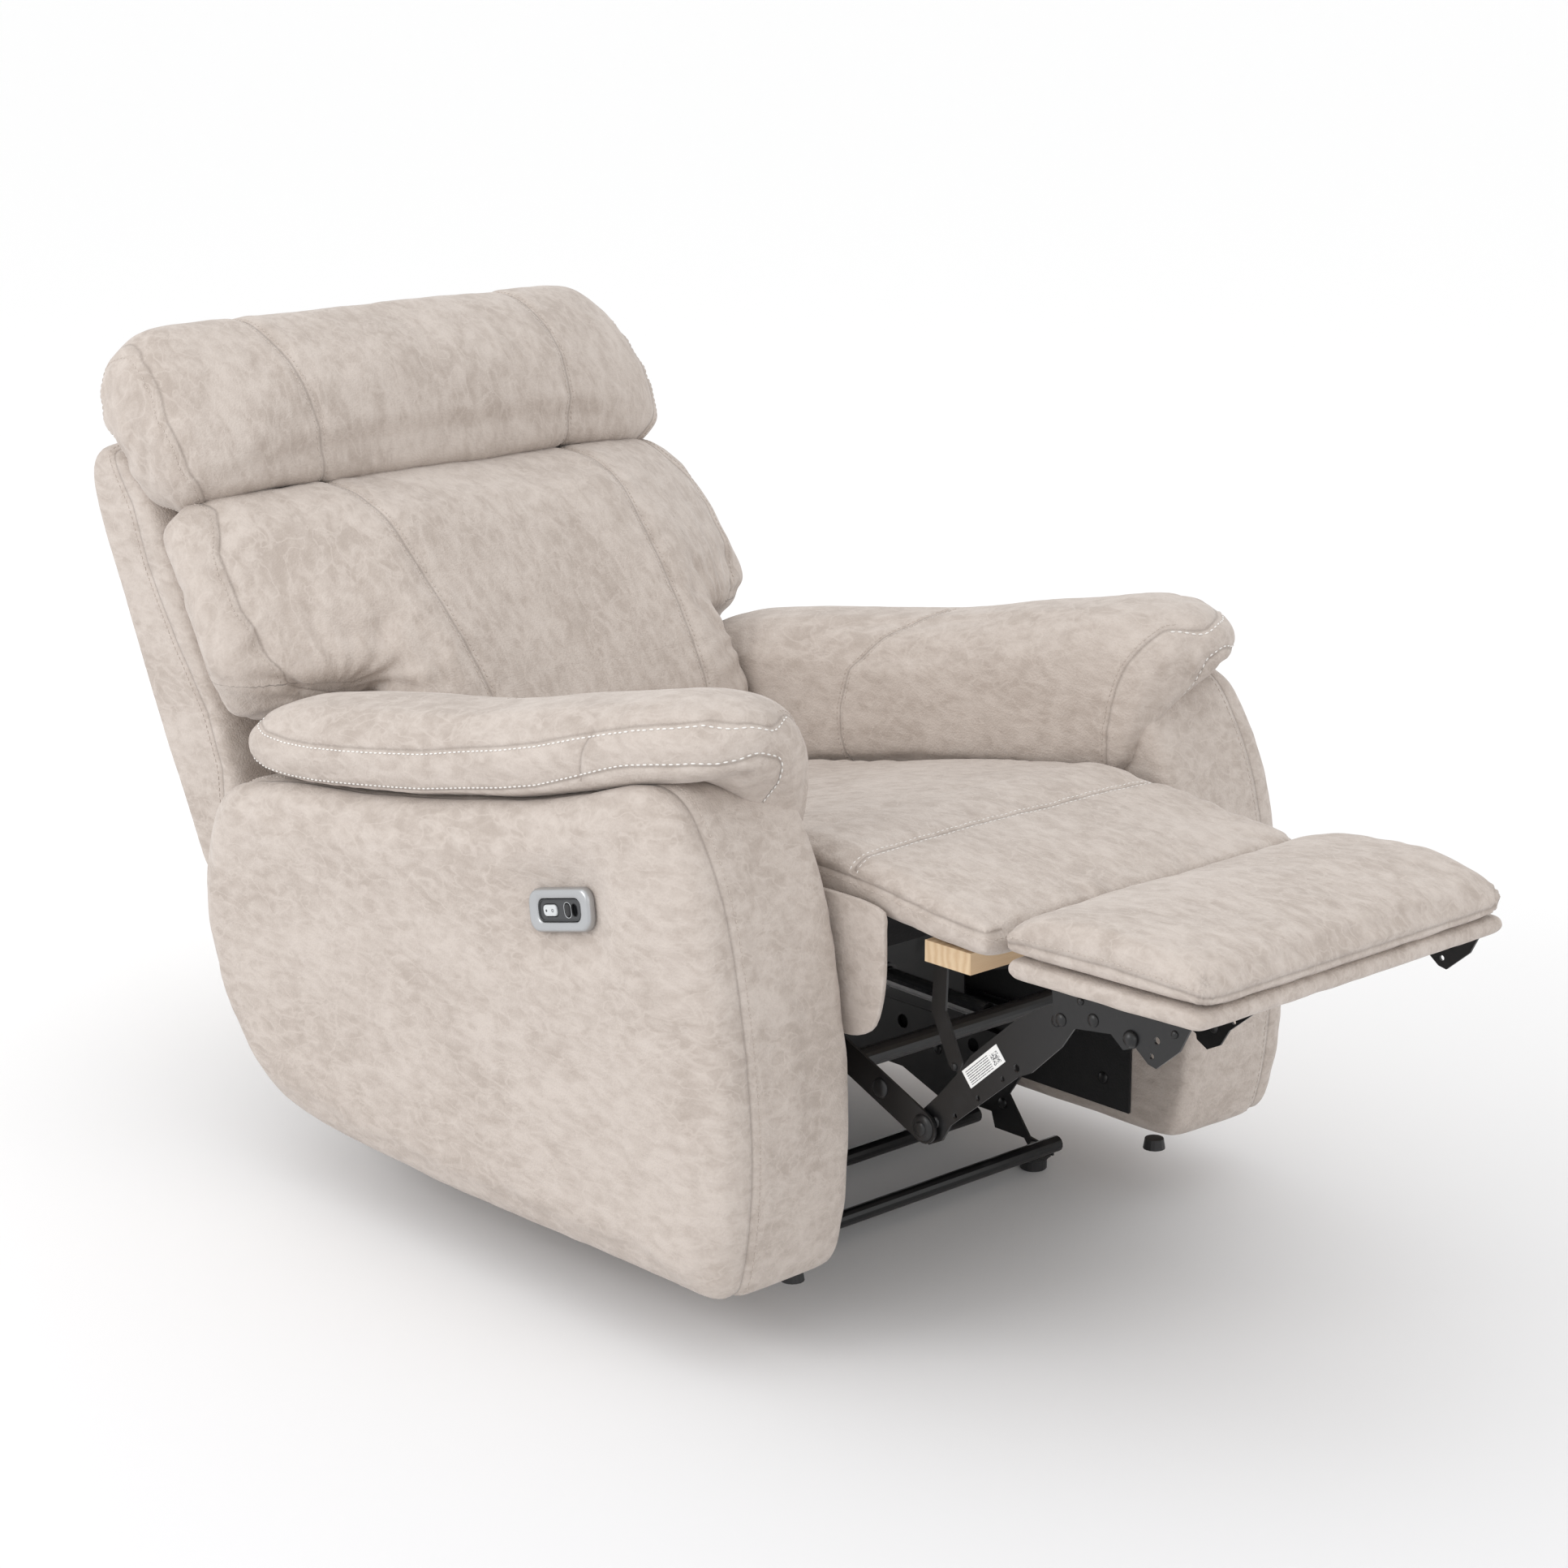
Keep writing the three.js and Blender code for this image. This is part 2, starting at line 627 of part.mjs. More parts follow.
// ---- actuator ----
function makeActuator() {
  const [my, mz] = MOTOR_PIVOT;
  const [ty, tz] = TORQUE_TUBE;
  const length = Math.hypot(ty - my, tz - mz);
  const heading = Math.atan2(tz - mz, ty - my);
  const lay = (geometry) => geometry.rotateX(heading).translate(0, my, mz);
  const ring = new THREE.Shape().absarc(0, 0, 15, 0, 2 * Math.PI, false);
  ring.holes = [circle(0, 0, 11.5)];
  const depth = MOTOR.sleeve;
  const sleeve = new THREE.ExtrudeGeometry(ring, { depth, bevelEnabled: false, curveSegments: 10 })
    .rotateX(-Math.PI / 2)
    .translate(0, MOTOR.sleeveStart, 0);
  add("actuator_sleeve", lay(sleeve), STEEL_BLACK);
  const gearbox = new THREE.CylinderGeometry(MOTOR.radius, MOTOR.radius, MOTOR.length, 20);
  const motor = join(
    gearbox.translate(0, 0, MOTOR.length / 2 + 2),
    block(-24, 24, -26, MOTOR.sleeveStart - GAP, -26, 26),
  );
  add("actuator_motor", lay(motor), PLASTIC_BLACK);
  const rodStart = MOTOR.sleeveStart + MOTOR.sleeve - MOTOR.overlap;
  const rodEnd = length - MOTOR.rodEnd;
  const stroke = new THREE.CylinderGeometry(10.5, 10.5, rodEnd - rodStart, 16).translate(
    0,
    (rodStart + rodEnd) / 2,
    0,
  );
  add("actuator_rod", lay(stroke), SILVER);
}

// ---- backrest ----
const SHELL_OUTLINE = [
  [1020, 297], [1062, 376], [1112, 466], [1172, 592], [1224, 695], [1243, 752], [1236, 784], [1206, 800],
  [1170, 790], [1140, 748], [1110, 680], [1064, 590], [1016, 506], [978, 430], [962, 360], [980, 306],
];

const WING_OUTLINE = [
  [905, 512], [868, 540], [856, 577], [889, 636], [936, 694], [974, 734], [1008, 746], [1046, 742],
  [1074, 710], [1076, 666], [1036, 590], [986, 520], [945, 503],
];

const LUMBAR_OUTLINE = [
  [672, 447], [672, 480], [686, 516], [712, 552], [744, 594], [796, 654], [858, 712], [916, 742],
  [970, 750], [1040, 744], [1080, 690], [1052, 594], [1004, 508], [970, 440], [940, 420], [830, 425],
  [705, 425], [680, 432],
];

const HEAD_OUTLINE = [
  [992, 760], [976, 780], [988, 816], [1026, 874], [1076, 926], [1132, 948], [1180, 938], [1206, 904],
  [1206, 866], [1186, 820], [1150, 792], [1122, 752], [1064, 752],
];

function backCushion() {
  const wings = cushion(
    smooth(WING_OUTLINE, 26),
    bothSides([[BACK_HALF, 30], [BACK_HALF - 6, 14], [BACK_HALF - 22, 4], [BACK_HALF - 90, 0]]),
  );
  const lumbar = cushion(
    smooth(LUMBAR_OUTLINE, 30),
    bothSides([[LUMBAR_HALF, 14], [LUMBAR_HALF - 12, 2], [LUMBAR_HALF - 60, 0]]),
  );
  return join(wings, lumbar);
}

function makeBack() {
  const shell = cushion(
    smooth(SHELL_OUTLINE, 32),
    bothSides([[SHELL_HALF, 10], [SHELL_HALF - 10, 2], [SHELL_HALF - 60, 0]]),
  );
  add("back_shell", shell, LEATHER);
  add("back_cushion", cut(backCushion(), grown(shell, SOFT_GAP)), LEATHER);
  const head = cushion(
    smooth(HEAD_OUTLINE, 26),
    bothSides([[HEAD_HALF, 34], [HEAD_HALF - 8, 16], [HEAD_HALF - 28, 4], [HEAD_HALF - 80, 0]]),
  );
  add("head_cushion", cut(head, grown(shell, SOFT_GAP), grown(backCushion(), SOFT_GAP)), LEATHER);
  const [y, z] = BACK_PIVOT;
  const arm = bar([y, z], [940, 372], 18, [[820, 343, 5]]);
  addPair("back_bracket", rightPlate(arm, LAYER.bracket), STEEL_BLACK);
}

makeArms();
makeControl();
makeBase();
makeSeat();
makeDrive();
makeLinks();
makeBridge();
makeLegRest();
makeActuator();
makeBack();

export default part;
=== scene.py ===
"""Looks for the recliner armchair: sewn leather covers, linkage steel, and the control panel."""
import json
import math

import bpy
import bmesh
import numpy as np
from mathutils import Matrix, Vector, noise


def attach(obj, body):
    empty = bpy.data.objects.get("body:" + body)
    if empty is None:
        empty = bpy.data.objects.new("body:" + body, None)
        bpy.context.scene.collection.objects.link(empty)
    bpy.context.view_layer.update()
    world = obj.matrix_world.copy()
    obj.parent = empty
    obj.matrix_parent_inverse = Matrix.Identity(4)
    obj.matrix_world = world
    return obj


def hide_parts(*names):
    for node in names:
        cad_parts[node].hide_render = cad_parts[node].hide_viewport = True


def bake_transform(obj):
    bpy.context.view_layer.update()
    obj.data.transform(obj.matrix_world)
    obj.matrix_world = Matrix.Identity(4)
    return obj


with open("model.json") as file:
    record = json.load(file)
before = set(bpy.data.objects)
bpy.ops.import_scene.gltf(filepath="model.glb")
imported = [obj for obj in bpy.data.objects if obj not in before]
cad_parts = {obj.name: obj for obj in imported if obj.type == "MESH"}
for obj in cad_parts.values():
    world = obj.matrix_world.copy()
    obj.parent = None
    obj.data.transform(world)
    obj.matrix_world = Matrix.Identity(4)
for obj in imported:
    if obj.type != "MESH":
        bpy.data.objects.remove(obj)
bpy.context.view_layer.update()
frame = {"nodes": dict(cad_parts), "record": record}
SCENE = bpy.context.scene

# Sizes below are millimetres in the chair's own layout: x across, y back from the arm
# fronts, z up. ORIGIN_Y is how far the part's origin lies behind the arm fronts.
ORIGIN_Y = 388.21
MM = 0.001


def to_metres(points):
    return (np.asarray(points, float) - (0, ORIGIN_Y, 0)) * MM


def to_chair(points):
    return np.asarray(points, float) / MM + (0, ORIGIN_Y, 0)


# ---- camera and lights ----
def make_camera():
    data = bpy.data.cameras.new("camera")
    data.sensor_width = 36
    data.lens = 80.12
    camera = bpy.data.objects.new("camera", data)
    camera.location = (-2.5882, -2.8406, 1.5034)
    camera.rotation_euler = (math.radians(90 - 15.05), 0, math.radians(-42.56))
    SCENE.collection.objects.link(camera)
    SCENE.camera = camera


def area_light(name, place, target, size, power):
    data = bpy.data.lights.new(name, "AREA")
    data.shape = "RECTANGLE"
    data.size, data.size_y = size
    data.energy = power
    light = bpy.data.objects.new(name, data)
    light.location = place
    light.rotation_euler = (Vector(target) - Vector(place)).to_track_quat("-Z", "Y").to_euler()
    SCENE.collection.objects.link(light)


def make_studio():
    world = bpy.data.worlds.new("studio")
    world.use_nodes = True
    background = world.node_tree.nodes["Background"]
    background.inputs["Color"].default_value = (1, 1, 1, 1)
    background.inputs["Strength"].default_value = 1.02
    SCENE.world = world
    SCENE.view_settings.view_transform = "Standard"
    SCENE.view_settings.look = "None"
    area_light("key", (-4.0, 0.9, 2.3), (0, 0.1, 0.4), (2.0, 2.0), 50)
    area_light("top", (-0.6, 0.9, 4.0), (0, 0, 0.4), (2.6, 2.6), 10)
    area_light("fill", (-1.2, -4.6, 1.7), (0, 0, 0.4), (4.0, 2.6), 22)
    make_floor(60)


def make_floor(reach):
    """A pale floor, with painted shade that makes it a little darker towards the chair's front right."""
    mesh = bpy.data.meshes.new("floor")
    corners = [(-reach, -reach, 0), (reach, -reach, 0), (reach, reach, 0), (-reach, reach, 0)]
    mesh.from_pydata(corners, [], [(0, 1, 2, 3)])
    floor = bpy.data.objects.new("floor", mesh)
    look = Look("floor")
    split = look.node("ShaderNodeSeparateXYZ", {}, {0: look.place()})
    away = split * 0.68 + split.sibling(1) * 0.74
    # Painted shade: the floor's colour runs from darker at the front right to paler further back.
    paper = look.mixed(away.between(-1.6, 2.2), (0.8, 0.8, 0.81, 1), (0.975, 0.975, 0.975, 1))
    look.finish({"Base Color": paper, "Roughness": 0.7, "Specular IOR Level": 0.1})
    mesh.materials.append(look.material)
    SCENE.collection.objects.link(floor)


# ---- shader nodes ----
class Value:
    """One output of a shader node, for use in Python expressions."""

    def __init__(self, look, socket):
        self.look = look
        self.socket = socket

    def sibling(self, index):
        """Another output of the same node."""
        return Value(self.look, self.socket.node.outputs[index])

    def maths(self, operation, *others):
        return self.look.node("ShaderNodeMath", {"operation": operation}, dict(enumerate(others)))

    def __add__(self, other):
        return self.maths("ADD", self, other)

    def __sub__(self, other):
        return self.maths("SUBTRACT", self, other)

    def __rsub__(self, other):
        return self.maths("SUBTRACT", other, self)

    def __mul__(self, other):
        return self.maths("MULTIPLY", self, other)

    def __truediv__(self, other):
        return self.maths("DIVIDE", self, other)

    def __neg__(self):
        return self.maths("MULTIPLY", self, -1.0)

    def __abs__(self):
        return self.maths("ABSOLUTE", self)

    def __gt__(self, other):
        return self.maths("GREATER_THAN", self, other)

    def __lt__(self, other):
        return self.maths("LESS_THAN", self, other)

    __radd__ = __add__
    __rmul__ = __mul__

    def hill(self, width):
        """1 where the value is 0, falling to nothing over a few widths."""
        steps = self / width
        return self.maths("EXPONENT", -(steps * steps))

    def between(self, low, high):
        """0 below low, 1 above high, and smooth in between."""
        sockets = {"Value": self, "From Min": low, "From Max": high}
        return self.look.node("ShaderNodeMapRange", {"interpolation_type": "SMOOTHSTEP"}, sockets)

    def least(self, other):
        return self.maths("MINIMUM", self, other)

    def most(self, other):
        return self.maths("MAXIMUM", self, other)


class Look:
    """A material and the nodes that are added to it."""

    def __init__(self, name):
        self.material = bpy.data.materials.new(name)
        self.material.use_nodes = True
        self.tree = self.material.node_tree
        self.shader = self.tree.nodes["Principled BSDF"]

    def node(self, kind, settings=None, sockets=None, output=0):
        made = self.tree.nodes.new(kind)
        for name, value in (settings or {}).items():
            setattr(made, name, value)
        for key, value in (sockets or {}).items():
            self.feed(made.inputs[key], value)
        return Value(self, made.outputs[output])

    def feed(self, socket, value):
        if isinstance(value, Value):
            self.tree.links.new(value.socket, socket)
        else:
            socket.default_value = value

    def finish(self, sockets):
        for name, value in sockets.items():
            self.feed(self.shader.inputs[name], value)
        return self.material

    def place(self, scale=(1, 1, 1), turn=(0, 0, 0)):
        where = self.node("ShaderNodeTexCoord", output=3)
        return self.node("ShaderNodeMapping", {}, {"Vector": where, "Scale": scale, "Rotation": turn})

    def noise(self, where, scale, detail=3.0, rough=0.5, distortion=0.0):
        sockets = {"Vector": where, "Scale": scale, "Detail": detail, "Roughness": rough}
        return self.node("ShaderNodeTexNoise", {}, {**sockets, "Distortion": distortion})

    def cells(self, where, scale, feature="F1"):
        return self.node("ShaderNodeTexVoronoi", {"feature": feature}, {"Vector": where, "Scale": scale})

    def attribute(self, name):
        return self.node("ShaderNodeAttribute", {"attribute_name": name}, output=2)

    def mixed(self, share, a, b):
        settings = {"data_type": "RGBA", "clamp_factor": True}
        return self.node("ShaderNodeMix", settings, {0: share, 6: a, 7: b}, output=2)

    def bump(self, height, strength=1.0):
        return self.node("ShaderNodeBump", {}, {"Height": height, "Strength": strength, "Distance": 1.0})


# Linear colours of the leather, from its worn highlights to its darker clouds, and the painted shade of its
# seam grooves.
LEATHER_PALE = (0.585, 0.52, 0.472, 1)
LEATHER_MIDDLE = (0.485, 0.422, 0.377, 1)
LEATHER_DARK = (0.4, 0.34, 0.298, 1)
SEAM_SHADE = (0.27, 0.225, 0.195, 1)


def leather(name, stretch=(1, 1, 1), turn=(0, 0, 0), shift=0.0):
    """Nubuck with clouded colour, fine grain, and a groove where the seam values are 0, darkened there with
    painted shade.
    """
    look = Look(name)
    where = look.place(stretch, turn)
    clouds = look.noise(where, 10.0 + shift, 3.0, 0.55, 0.3)
    patches = look.noise(where, 62.0 + shift, 3.0, 0.58, 0.4)
    veins = abs(look.noise(where, 34.0 + shift, 2.0, 0.5, 0.6) - 0.5)
    specks = look.noise(look.place(), 330.0, 2.0, 0.5)
    tone = clouds * 0.38 + patches * 0.5 + specks * 0.12
    light = tone.between(0.42, 0.66)
    dark = 1 - tone.between(0.34, 0.5)
    rubbed = 1 - veins.between(0.0, 0.04)
    colour = look.mixed(light * 0.9, LEATHER_MIDDLE, LEATHER_PALE)
    colour = look.mixed(dark * 0.62, colour, LEATHER_DARK)
    colour = look.mixed(rubbed * 0.5, colour, LEATHER_PALE)
    seam = abs(look.attribute("seam_a")).least(abs(look.attribute("seam_b")))
    # Painted shade: the colour darkens along each seam groove.
    colour = look.mixed(seam.hill(1.0) * 0.5, colour, SEAM_SHADE)
    pebbles = look.cells(look.place(), 430.0)
    creases = look.noise(look.place((1, 1, 1)), 62.0, 4.0, 0.6, 1.6)
    height = pebbles * 0.00042 + creases * 0.0006 + patches * 0.0006
    height = height - seam.hill(1.6) * 0.0009 + (seam - 5.0).hill(3.0) * 0.0004
    rough = 0.88 - light * 0.12 - pebbles * 0.06
    look.finish(
        {
            "Base Color": colour,
            "Roughness": rough,
            "Normal": look.bump(height),
            "Sheen Weight": 0.18,
            "Sheen Roughness": 0.42,
            "Specular IOR Level": 0.32,
        }
    )
    return look.material


def thread(name, colour):
    look = Look(name)
    twist = look.noise(look.place(), 900.0, 1.0)
    dull = tuple(c * 0.86 for c in colour[:3]) + (1,)
    look.finish({"Base Color": look.mixed(twist, colour, dull), "Roughness": 0.7})
    return look.material


def painted_steel():
    """Black satin paint, with orange peel, dust and the odd scuff."""
    look = Look("black_satin_paint")
    where = look.place()
    peel = look.noise(where, 420.0, 2.0)
    dust = look.noise(where, 38.0, 5.0, 0.65, 0.4).between(0.52, 0.72)
    scuffs = look.noise(look.place((1, 0.25, 1)), 130.0, 6.0, 0.75, 0.8).between(0.66, 0.78)
    colour = look.mixed(dust * 0.45, (0.006, 0.006, 0.0065, 1), (0.017, 0.017, 0.018, 1))
    colour = look.mixed(scuffs * 0.5, colour, (0.07, 0.07, 0.072, 1))
    height = peel * 0.00006 + scuffs * 0.00005
    rough = 0.34 + dust * 0.16 + scuffs * 0.12
    look.finish({"Base Color": colour, "Roughness": rough, "Metallic": 0.0, "Normal": look.bump(height)})
    return look.material


def moulded(name, colour, rough=0.5, grain=0.00006):
    """Moulded plastic with a fine spark-eroded grain."""
    look = Look(name)
    where = look.place()
    texture = look.noise(where, 1300.0, 2.0)
    wear = look.noise(where, 70.0, 4.0, 0.6).between(0.5, 0.75)
    lighter = tuple(min(1, c * 1.35 + 0.006) for c in colour[:3]) + (1,)
    look.finish(
        {
            "Base Color": look.mixed(wear * 0.5, colour, lighter),
            "Roughness": rough + wear * 0.1,
            "Normal": look.bump(texture * grain),
        }
    )
    return look.material


def board_cloth():
    """Black non-woven cloth stapled over the arm's inner board."""
    look = Look("black_lining_cloth")
    where = look.place()
    fibres = look.noise(where, 380.0, 5.0, 0.7, 1.2)
    dimples = look.cells(where, 330.0)
    sag = look.noise(where, 7.0, 3.0)
    colour = look.mixed(fibres, (0.004, 0.004, 0.0045, 1), (0.017, 0.017, 0.018, 1))
    height = fibres * 0.0002 + dimples * 0.0002 + sag * 0.004
    bump = look.bump(height)
    look.finish({"Base Color": colour, "Roughness": 0.95, "Normal": bump, "Sheen Weight": 0.05})
    return look.material


def sawn_pine():
    look = Look("sawn_pine")
    where = look.place((1, 9, 9))
    growth = look.node("ShaderNodeTexWave", {"bands_direction": "Y"}, {
        "Vector": look.place((0.6, 10, 10)), "Scale": 3.2, "Distortion": 5.0,
        "Detail": 3.0, "Detail Scale": 1.2,
    }, output=1)
    fibres = look.noise(look.place((3, 90, 90)), 9.0, 4.0, 0.7)
    blotch = look.noise(where, 3.0, 2.0)
    colour = look.mixed(growth * 0.75, (0.70, 0.53, 0.34, 1), (0.55, 0.36, 0.2, 1))
    colour = look.mixed(fibres * 0.3, colour, (0.78, 0.63, 0.44, 1))
    height = fibres * 0.0004 + growth * 0.00015
    look.finish({"Base Color": colour, "Roughness": 0.62 + blotch * 0.15, "Normal": look.bump(height)})
    return look.material


def satin_silver():
    look = Look("satin_silver")
    brushed = look.noise(look.place((1, 12, 260)), 30.0, 3.0)
    smudge = look.noise(look.place(), 60.0, 3.0)
    rough = 0.26 + brushed * 0.12 + smudge * 0.06
    colour = look.mixed(brushed, (0.42, 0.43, 0.44, 1), (0.52, 0.53, 0.54, 1))
    bump = look.bump(brushed * 0.00002)
    look.finish({"Base Color": colour, "Roughness": rough, "Metallic": 0.85, "Normal": bump})
    return look.material


def turned_steel():
    look = Look("polished_steel")
    rings = look.noise(look.place((260, 1, 1)), 8.0, 2.0)
    colour = look.mixed(rings, (0.5, 0.51, 0.52, 1), (0.62, 0.63, 0.64, 1))
    look.finish({"Base Color": colour, "Roughness": 0.16 + rings * 0.1, "Metallic": 1.0})
    return look.material


# ---- outlines and solids ----
def smooth_loop(points, count):
    """Evenly spaced points on a smooth closed curve through the given ones."""
    p = np.asarray(points, float)
    steps = np.linspace(0, 1, 16, endpoint=False)[:, None]
    curve = []
    for i in range(len(p)):
        a, b, c, d = (p[(i + k) % len(p)] for k in (-1, 0, 1, 2))
        m0, m1 = (c - a) / 2, (d - b) / 2
        reach = np.linalg.norm(c - b)
        m0 *= min(1, reach / (np.linalg.norm(m0) + 1e-9))
        m1 *= min(1, reach / (np.linalg.norm(m1) + 1e-9))
        t, t2, t3 = steps, steps**2, steps**3
        h = (2 * t3 - 3 * t2 + 1) * b + (t3 - 2 * t2 + t) * m0
        curve.append(h + (3 * t2 - 2 * t3) * c + (t3 - t2) * m1)
    curve = np.vstack(curve)
    closed = np.vstack([curve, curve[:1]])
    run = np.concatenate([[0], np.cumsum(np.linalg.norm(np.diff(closed, axis=0), axis=1))])
    at = np.linspace(0, run[-1], count, endpoint=False)
    return np.stack([np.interp(at, run, closed[:, k]) for k in range(p.shape[1])], axis=1)


def smooth_table(rows, count):
    """A table of numbers, with more rows put smoothly between the given ones."""
    rows = np.asarray(rows, float)
    key = rows[:, 0]
    slope = np.gradient(rows, key, axis=0)
    at = np.linspace(key[0], key[-1], count)
    i = np.clip(np.searchsorted(key, at) - 1, 0, len(key) - 2)
    h = (key[i + 1] - key[i])[:, None]
    t = (at - key[i])[:, None] / h
    a, b = rows[i], rows[i + 1]
    ta, tb = slope[i] * h, slope[i + 1] * h
    t2, t3 = t**2, t**3
    return (2 * t3 - 3 * t2 + 1) * a + (t3 - 2 * t2 + t) * ta + (3 * t2 - 2 * t3) * b + (t3 - t2) * tb


def drawn_in(outline, distance):
    """The outline shrunk by a distance along both of its own main directions."""
    middle = outline.mean(axis=0)
    around = outline - middle
    axes = np.linalg.eigh(around.T @ around)[1]
    local = around @ axes
    half = np.abs(local).max(axis=0)
    return middle + (local * np.maximum(0.04, (half - distance) / half)) @ axes.T


def loft(rings):
    """A closed skin over rings that have the same number of points."""
    rings = [np.asarray(r, float) for r in rings]
    count = len(rings[0])
    points = [tuple(p) for ring in rings for p in ring]
    faces = []
    for r in range(len(rings) - 1):
        for i in range(count):
            a, b = r * count + i, r * count + (i + 1) % count
            faces.append((a, b, b + count, a + count))
    faces.append(tuple(range(count))[::-1])
    last = (len(rings) - 1) * count
    faces.append(tuple(range(last, last + count)))
    return points, faces


def across(outline, layers, both=True):
    """Rings of a side outline repeated across the width; a layer is (x, drawn-in distance)."""
    full = [(-x, d) for x, d in layers] + [(x, d) for x, d in reversed(layers)] if both else layers
    return [[(x, y, z) for y, z in drawn_in(outline, d)] for x, d in full]


def new_object(name, points, faces):
    mesh = bpy.data.meshes.new(name)
    mesh.from_pydata([tuple(p) for p in to_metres(points)], [], faces)
    made = bpy.data.objects.new(name, mesh)
    SCENE.collection.objects.link(made)
    return face_outwards(made)


def face_outwards(piece):
    work = bmesh.new()
    work.from_mesh(piece.data)
    bmesh.ops.remove_doubles(work, verts=work.verts, dist=1e-6)
    bmesh.ops.recalc_face_normals(work, faces=work.faces)
    work.to_mesh(piece.data)
    work.free()
    return piece


def baked(piece):
    """Turns a piece's modifiers into plain mesh."""
    graph = bpy.context.evaluated_depsgraph_get()
    mesh = bpy.data.meshes.new_from_object(piece.evaluated_get(graph))
    piece.modifiers.clear()
    old = piece.data
    piece.data = mesh
    mesh.name = piece.name
    bpy.data.meshes.remove(old)
    return piece


def modify(piece, kind, **settings):
    modifier = piece.modifiers.new(kind.lower(), kind)
    for name, value in settings.items():
        setattr(modifier, name, value)
    return baked(piece)


def skinned(piece, voxel=6.0, soften=6):
    """One even skin over a rough shape."""
    modify(piece, "REMESH", mode="VOXEL", voxel_size=voxel * MM)
    return modify(piece, "SMOOTH", factor=0.5, iterations=soften)


def verts_of(piece):
    co = np.empty(len(piece.data.vertices) * 3)
    piece.data.vertices.foreach_get("co", co)
    return to_chair(co.reshape(-1, 3))


def normals_of(piece):
    vectors = np.empty(len(piece.data.vertices) * 3)
    piece.data.vertex_normals.foreach_get("vector", vectors)
    return vectors.reshape(-1, 3)


def set_verts(piece, points):
    piece.data.vertices.foreach_set("co", to_metres(points).ravel())
    piece.data.update()


# ---- stuffing ----
STUFFED = []
STUFFING_FRAMES = 20
MOST_SLIDE = 1.2


def stuff(piece, cap, pressure=4.0):
    """Marks a piece to be swelled from inside by cloth simulation, by at most cap."""
    STUFFED.append((piece, cap, verts_of(piece)))
    modifier = piece.modifiers.new("stuffing", "CLOTH")
    cloth = modifier.settings
    cloth.quality = 4
    cloth.mass = 0.35
    cloth.tension_stiffness = 18
    cloth.compression_stiffness = 12
    cloth.shear_stiffness = 8
    cloth.bending_stiffness = 0.6
    cloth.use_pressure = True
    cloth.uniform_pressure_force = pressure
    cloth.effector_weights.gravity = 0
    modifier.collision_settings.use_collision = False
    modifier.point_cache.frame_start = 1
    modifier.point_cache.frame_end = STUFFING_FRAMES
    return piece


def swell_all():
    """Runs every marked simulation together, and keeps each capped result."""
    for step in range(1, STUFFING_FRAMES + 1):
        SCENE.frame_set(step)
    for piece, cap, start in STUFFED:
        baked(piece)
        moved = verts_of(piece) - start
        set_verts(piece, start)
        outward = normals_of(piece)
        swell = (moved * outward).sum(axis=1, keepdims=True)
        slide = moved - outward * swell
        reach = np.linalg.norm(slide, axis=1, keepdims=True)
        slide *= np.minimum(1, MOST_SLIDE / np.maximum(reach, 1e-6))
        set_verts(piece, start + outward * np.clip(swell, -0.8, cap) + slide)
        modify(piece, "SMOOTH", factor=0.5, iterations=2)
    SCENE.frame_set(1)


# ---- seams and stitches ----
# A distance that stands for no seam nearby, and how evenly a row of thread is drawn.
NO_SEAM = 900.0
ROW_ROUNDS = 14
# Pitch, length, thickness and lift of the plain stitches on most seams.
FINE_STITCH = (7.0, 4.8, 1.3, 0.3)


def bell(distance, width):
    return np.exp(-((distance / width) ** 2))


def push(piece, amount):
    """Moves each vertex along its normal by its own amount."""
    set_verts(piece, verts_of(piece) + normals_of(piece) * np.asarray(amount)[:, None])


def cloud(points, scale, seed=0.0):
    """Smooth noise from -1 to 1 at each point; scale is the size of a cloud."""
    return np.array([noise.noise(Vector(p / scale) + Vector((seed, seed * 0.7, -seed))) for p in points])


def mark_seams(piece, first=None, second=None):
    """Stores each vertex's distance from up to two seams, for the leather to draw."""
    for name, values in (("seam_a", first), ("seam_b", second)):
        if values is None:
            values = np.full(len(piece.data.vertices), NO_SEAM)
        layer = piece.data.attributes.new(name, "FLOAT", "POINT")
        layer.data.foreach_set("value", np.asarray(values, np.float32))


def contours(piece, values, level, keep):
    """Chains of surface points, with normals, where the values cross a level."""
    mesh = piece.data
    mesh.calc_loop_triangles()
    corners = np.empty(len(mesh.loop_triangles) * 3, np.int32)
    mesh.loop_triangles.foreach_get("vertices", corners)
    corners = corners.reshape(-1, 3)
    height = values - level
    above = height[corners] > 0
    chosen = corners[above.any(1) & ~above.all(1) & keep[corners].all(1)]
    co, normals = verts_of(piece), normals_of(piece)
    joined, where = {}, {}
    for triangle in chosen:
        ends = []
        for a, b in ((0, 1), (1, 2), (2, 0)):
            i, j = sorted((int(triangle[a]), int(triangle[b])))
            if (height[i] > 0) != (height[j] > 0):
                share = height[i] / (height[i] - height[j])
                crossing = co[i] + (co[j] - co[i]) * share
                where[(i, j)] = (crossing, normals[i] + (normals[j] - normals[i]) * share)
                ends.append((i, j))
        if len(ends) == 2:
            joined.setdefault(ends[0], []).append(ends[1])
            joined.setdefault(ends[1], []).append(ends[0])
    chains, seen = [], set()
    for start in sorted(joined, key=lambda k: (len(joined[k]), k)):
        if start in seen:
            continue
        chain, here = [], start
        while here is not None:
            seen.add(here)
            chain.append(here)
            here = next((k for k in joined[here] if k not in seen), None)
        chains.append(tuple(np.array(v) for v in zip(*(where[k] for k in chain))))
    return [c for c in chains if len(c[0]) > 6 and length_of(c[0]) > 25]


def length_of(points):
    return np.linalg.norm(np.diff(points, axis=0), axis=1).sum()


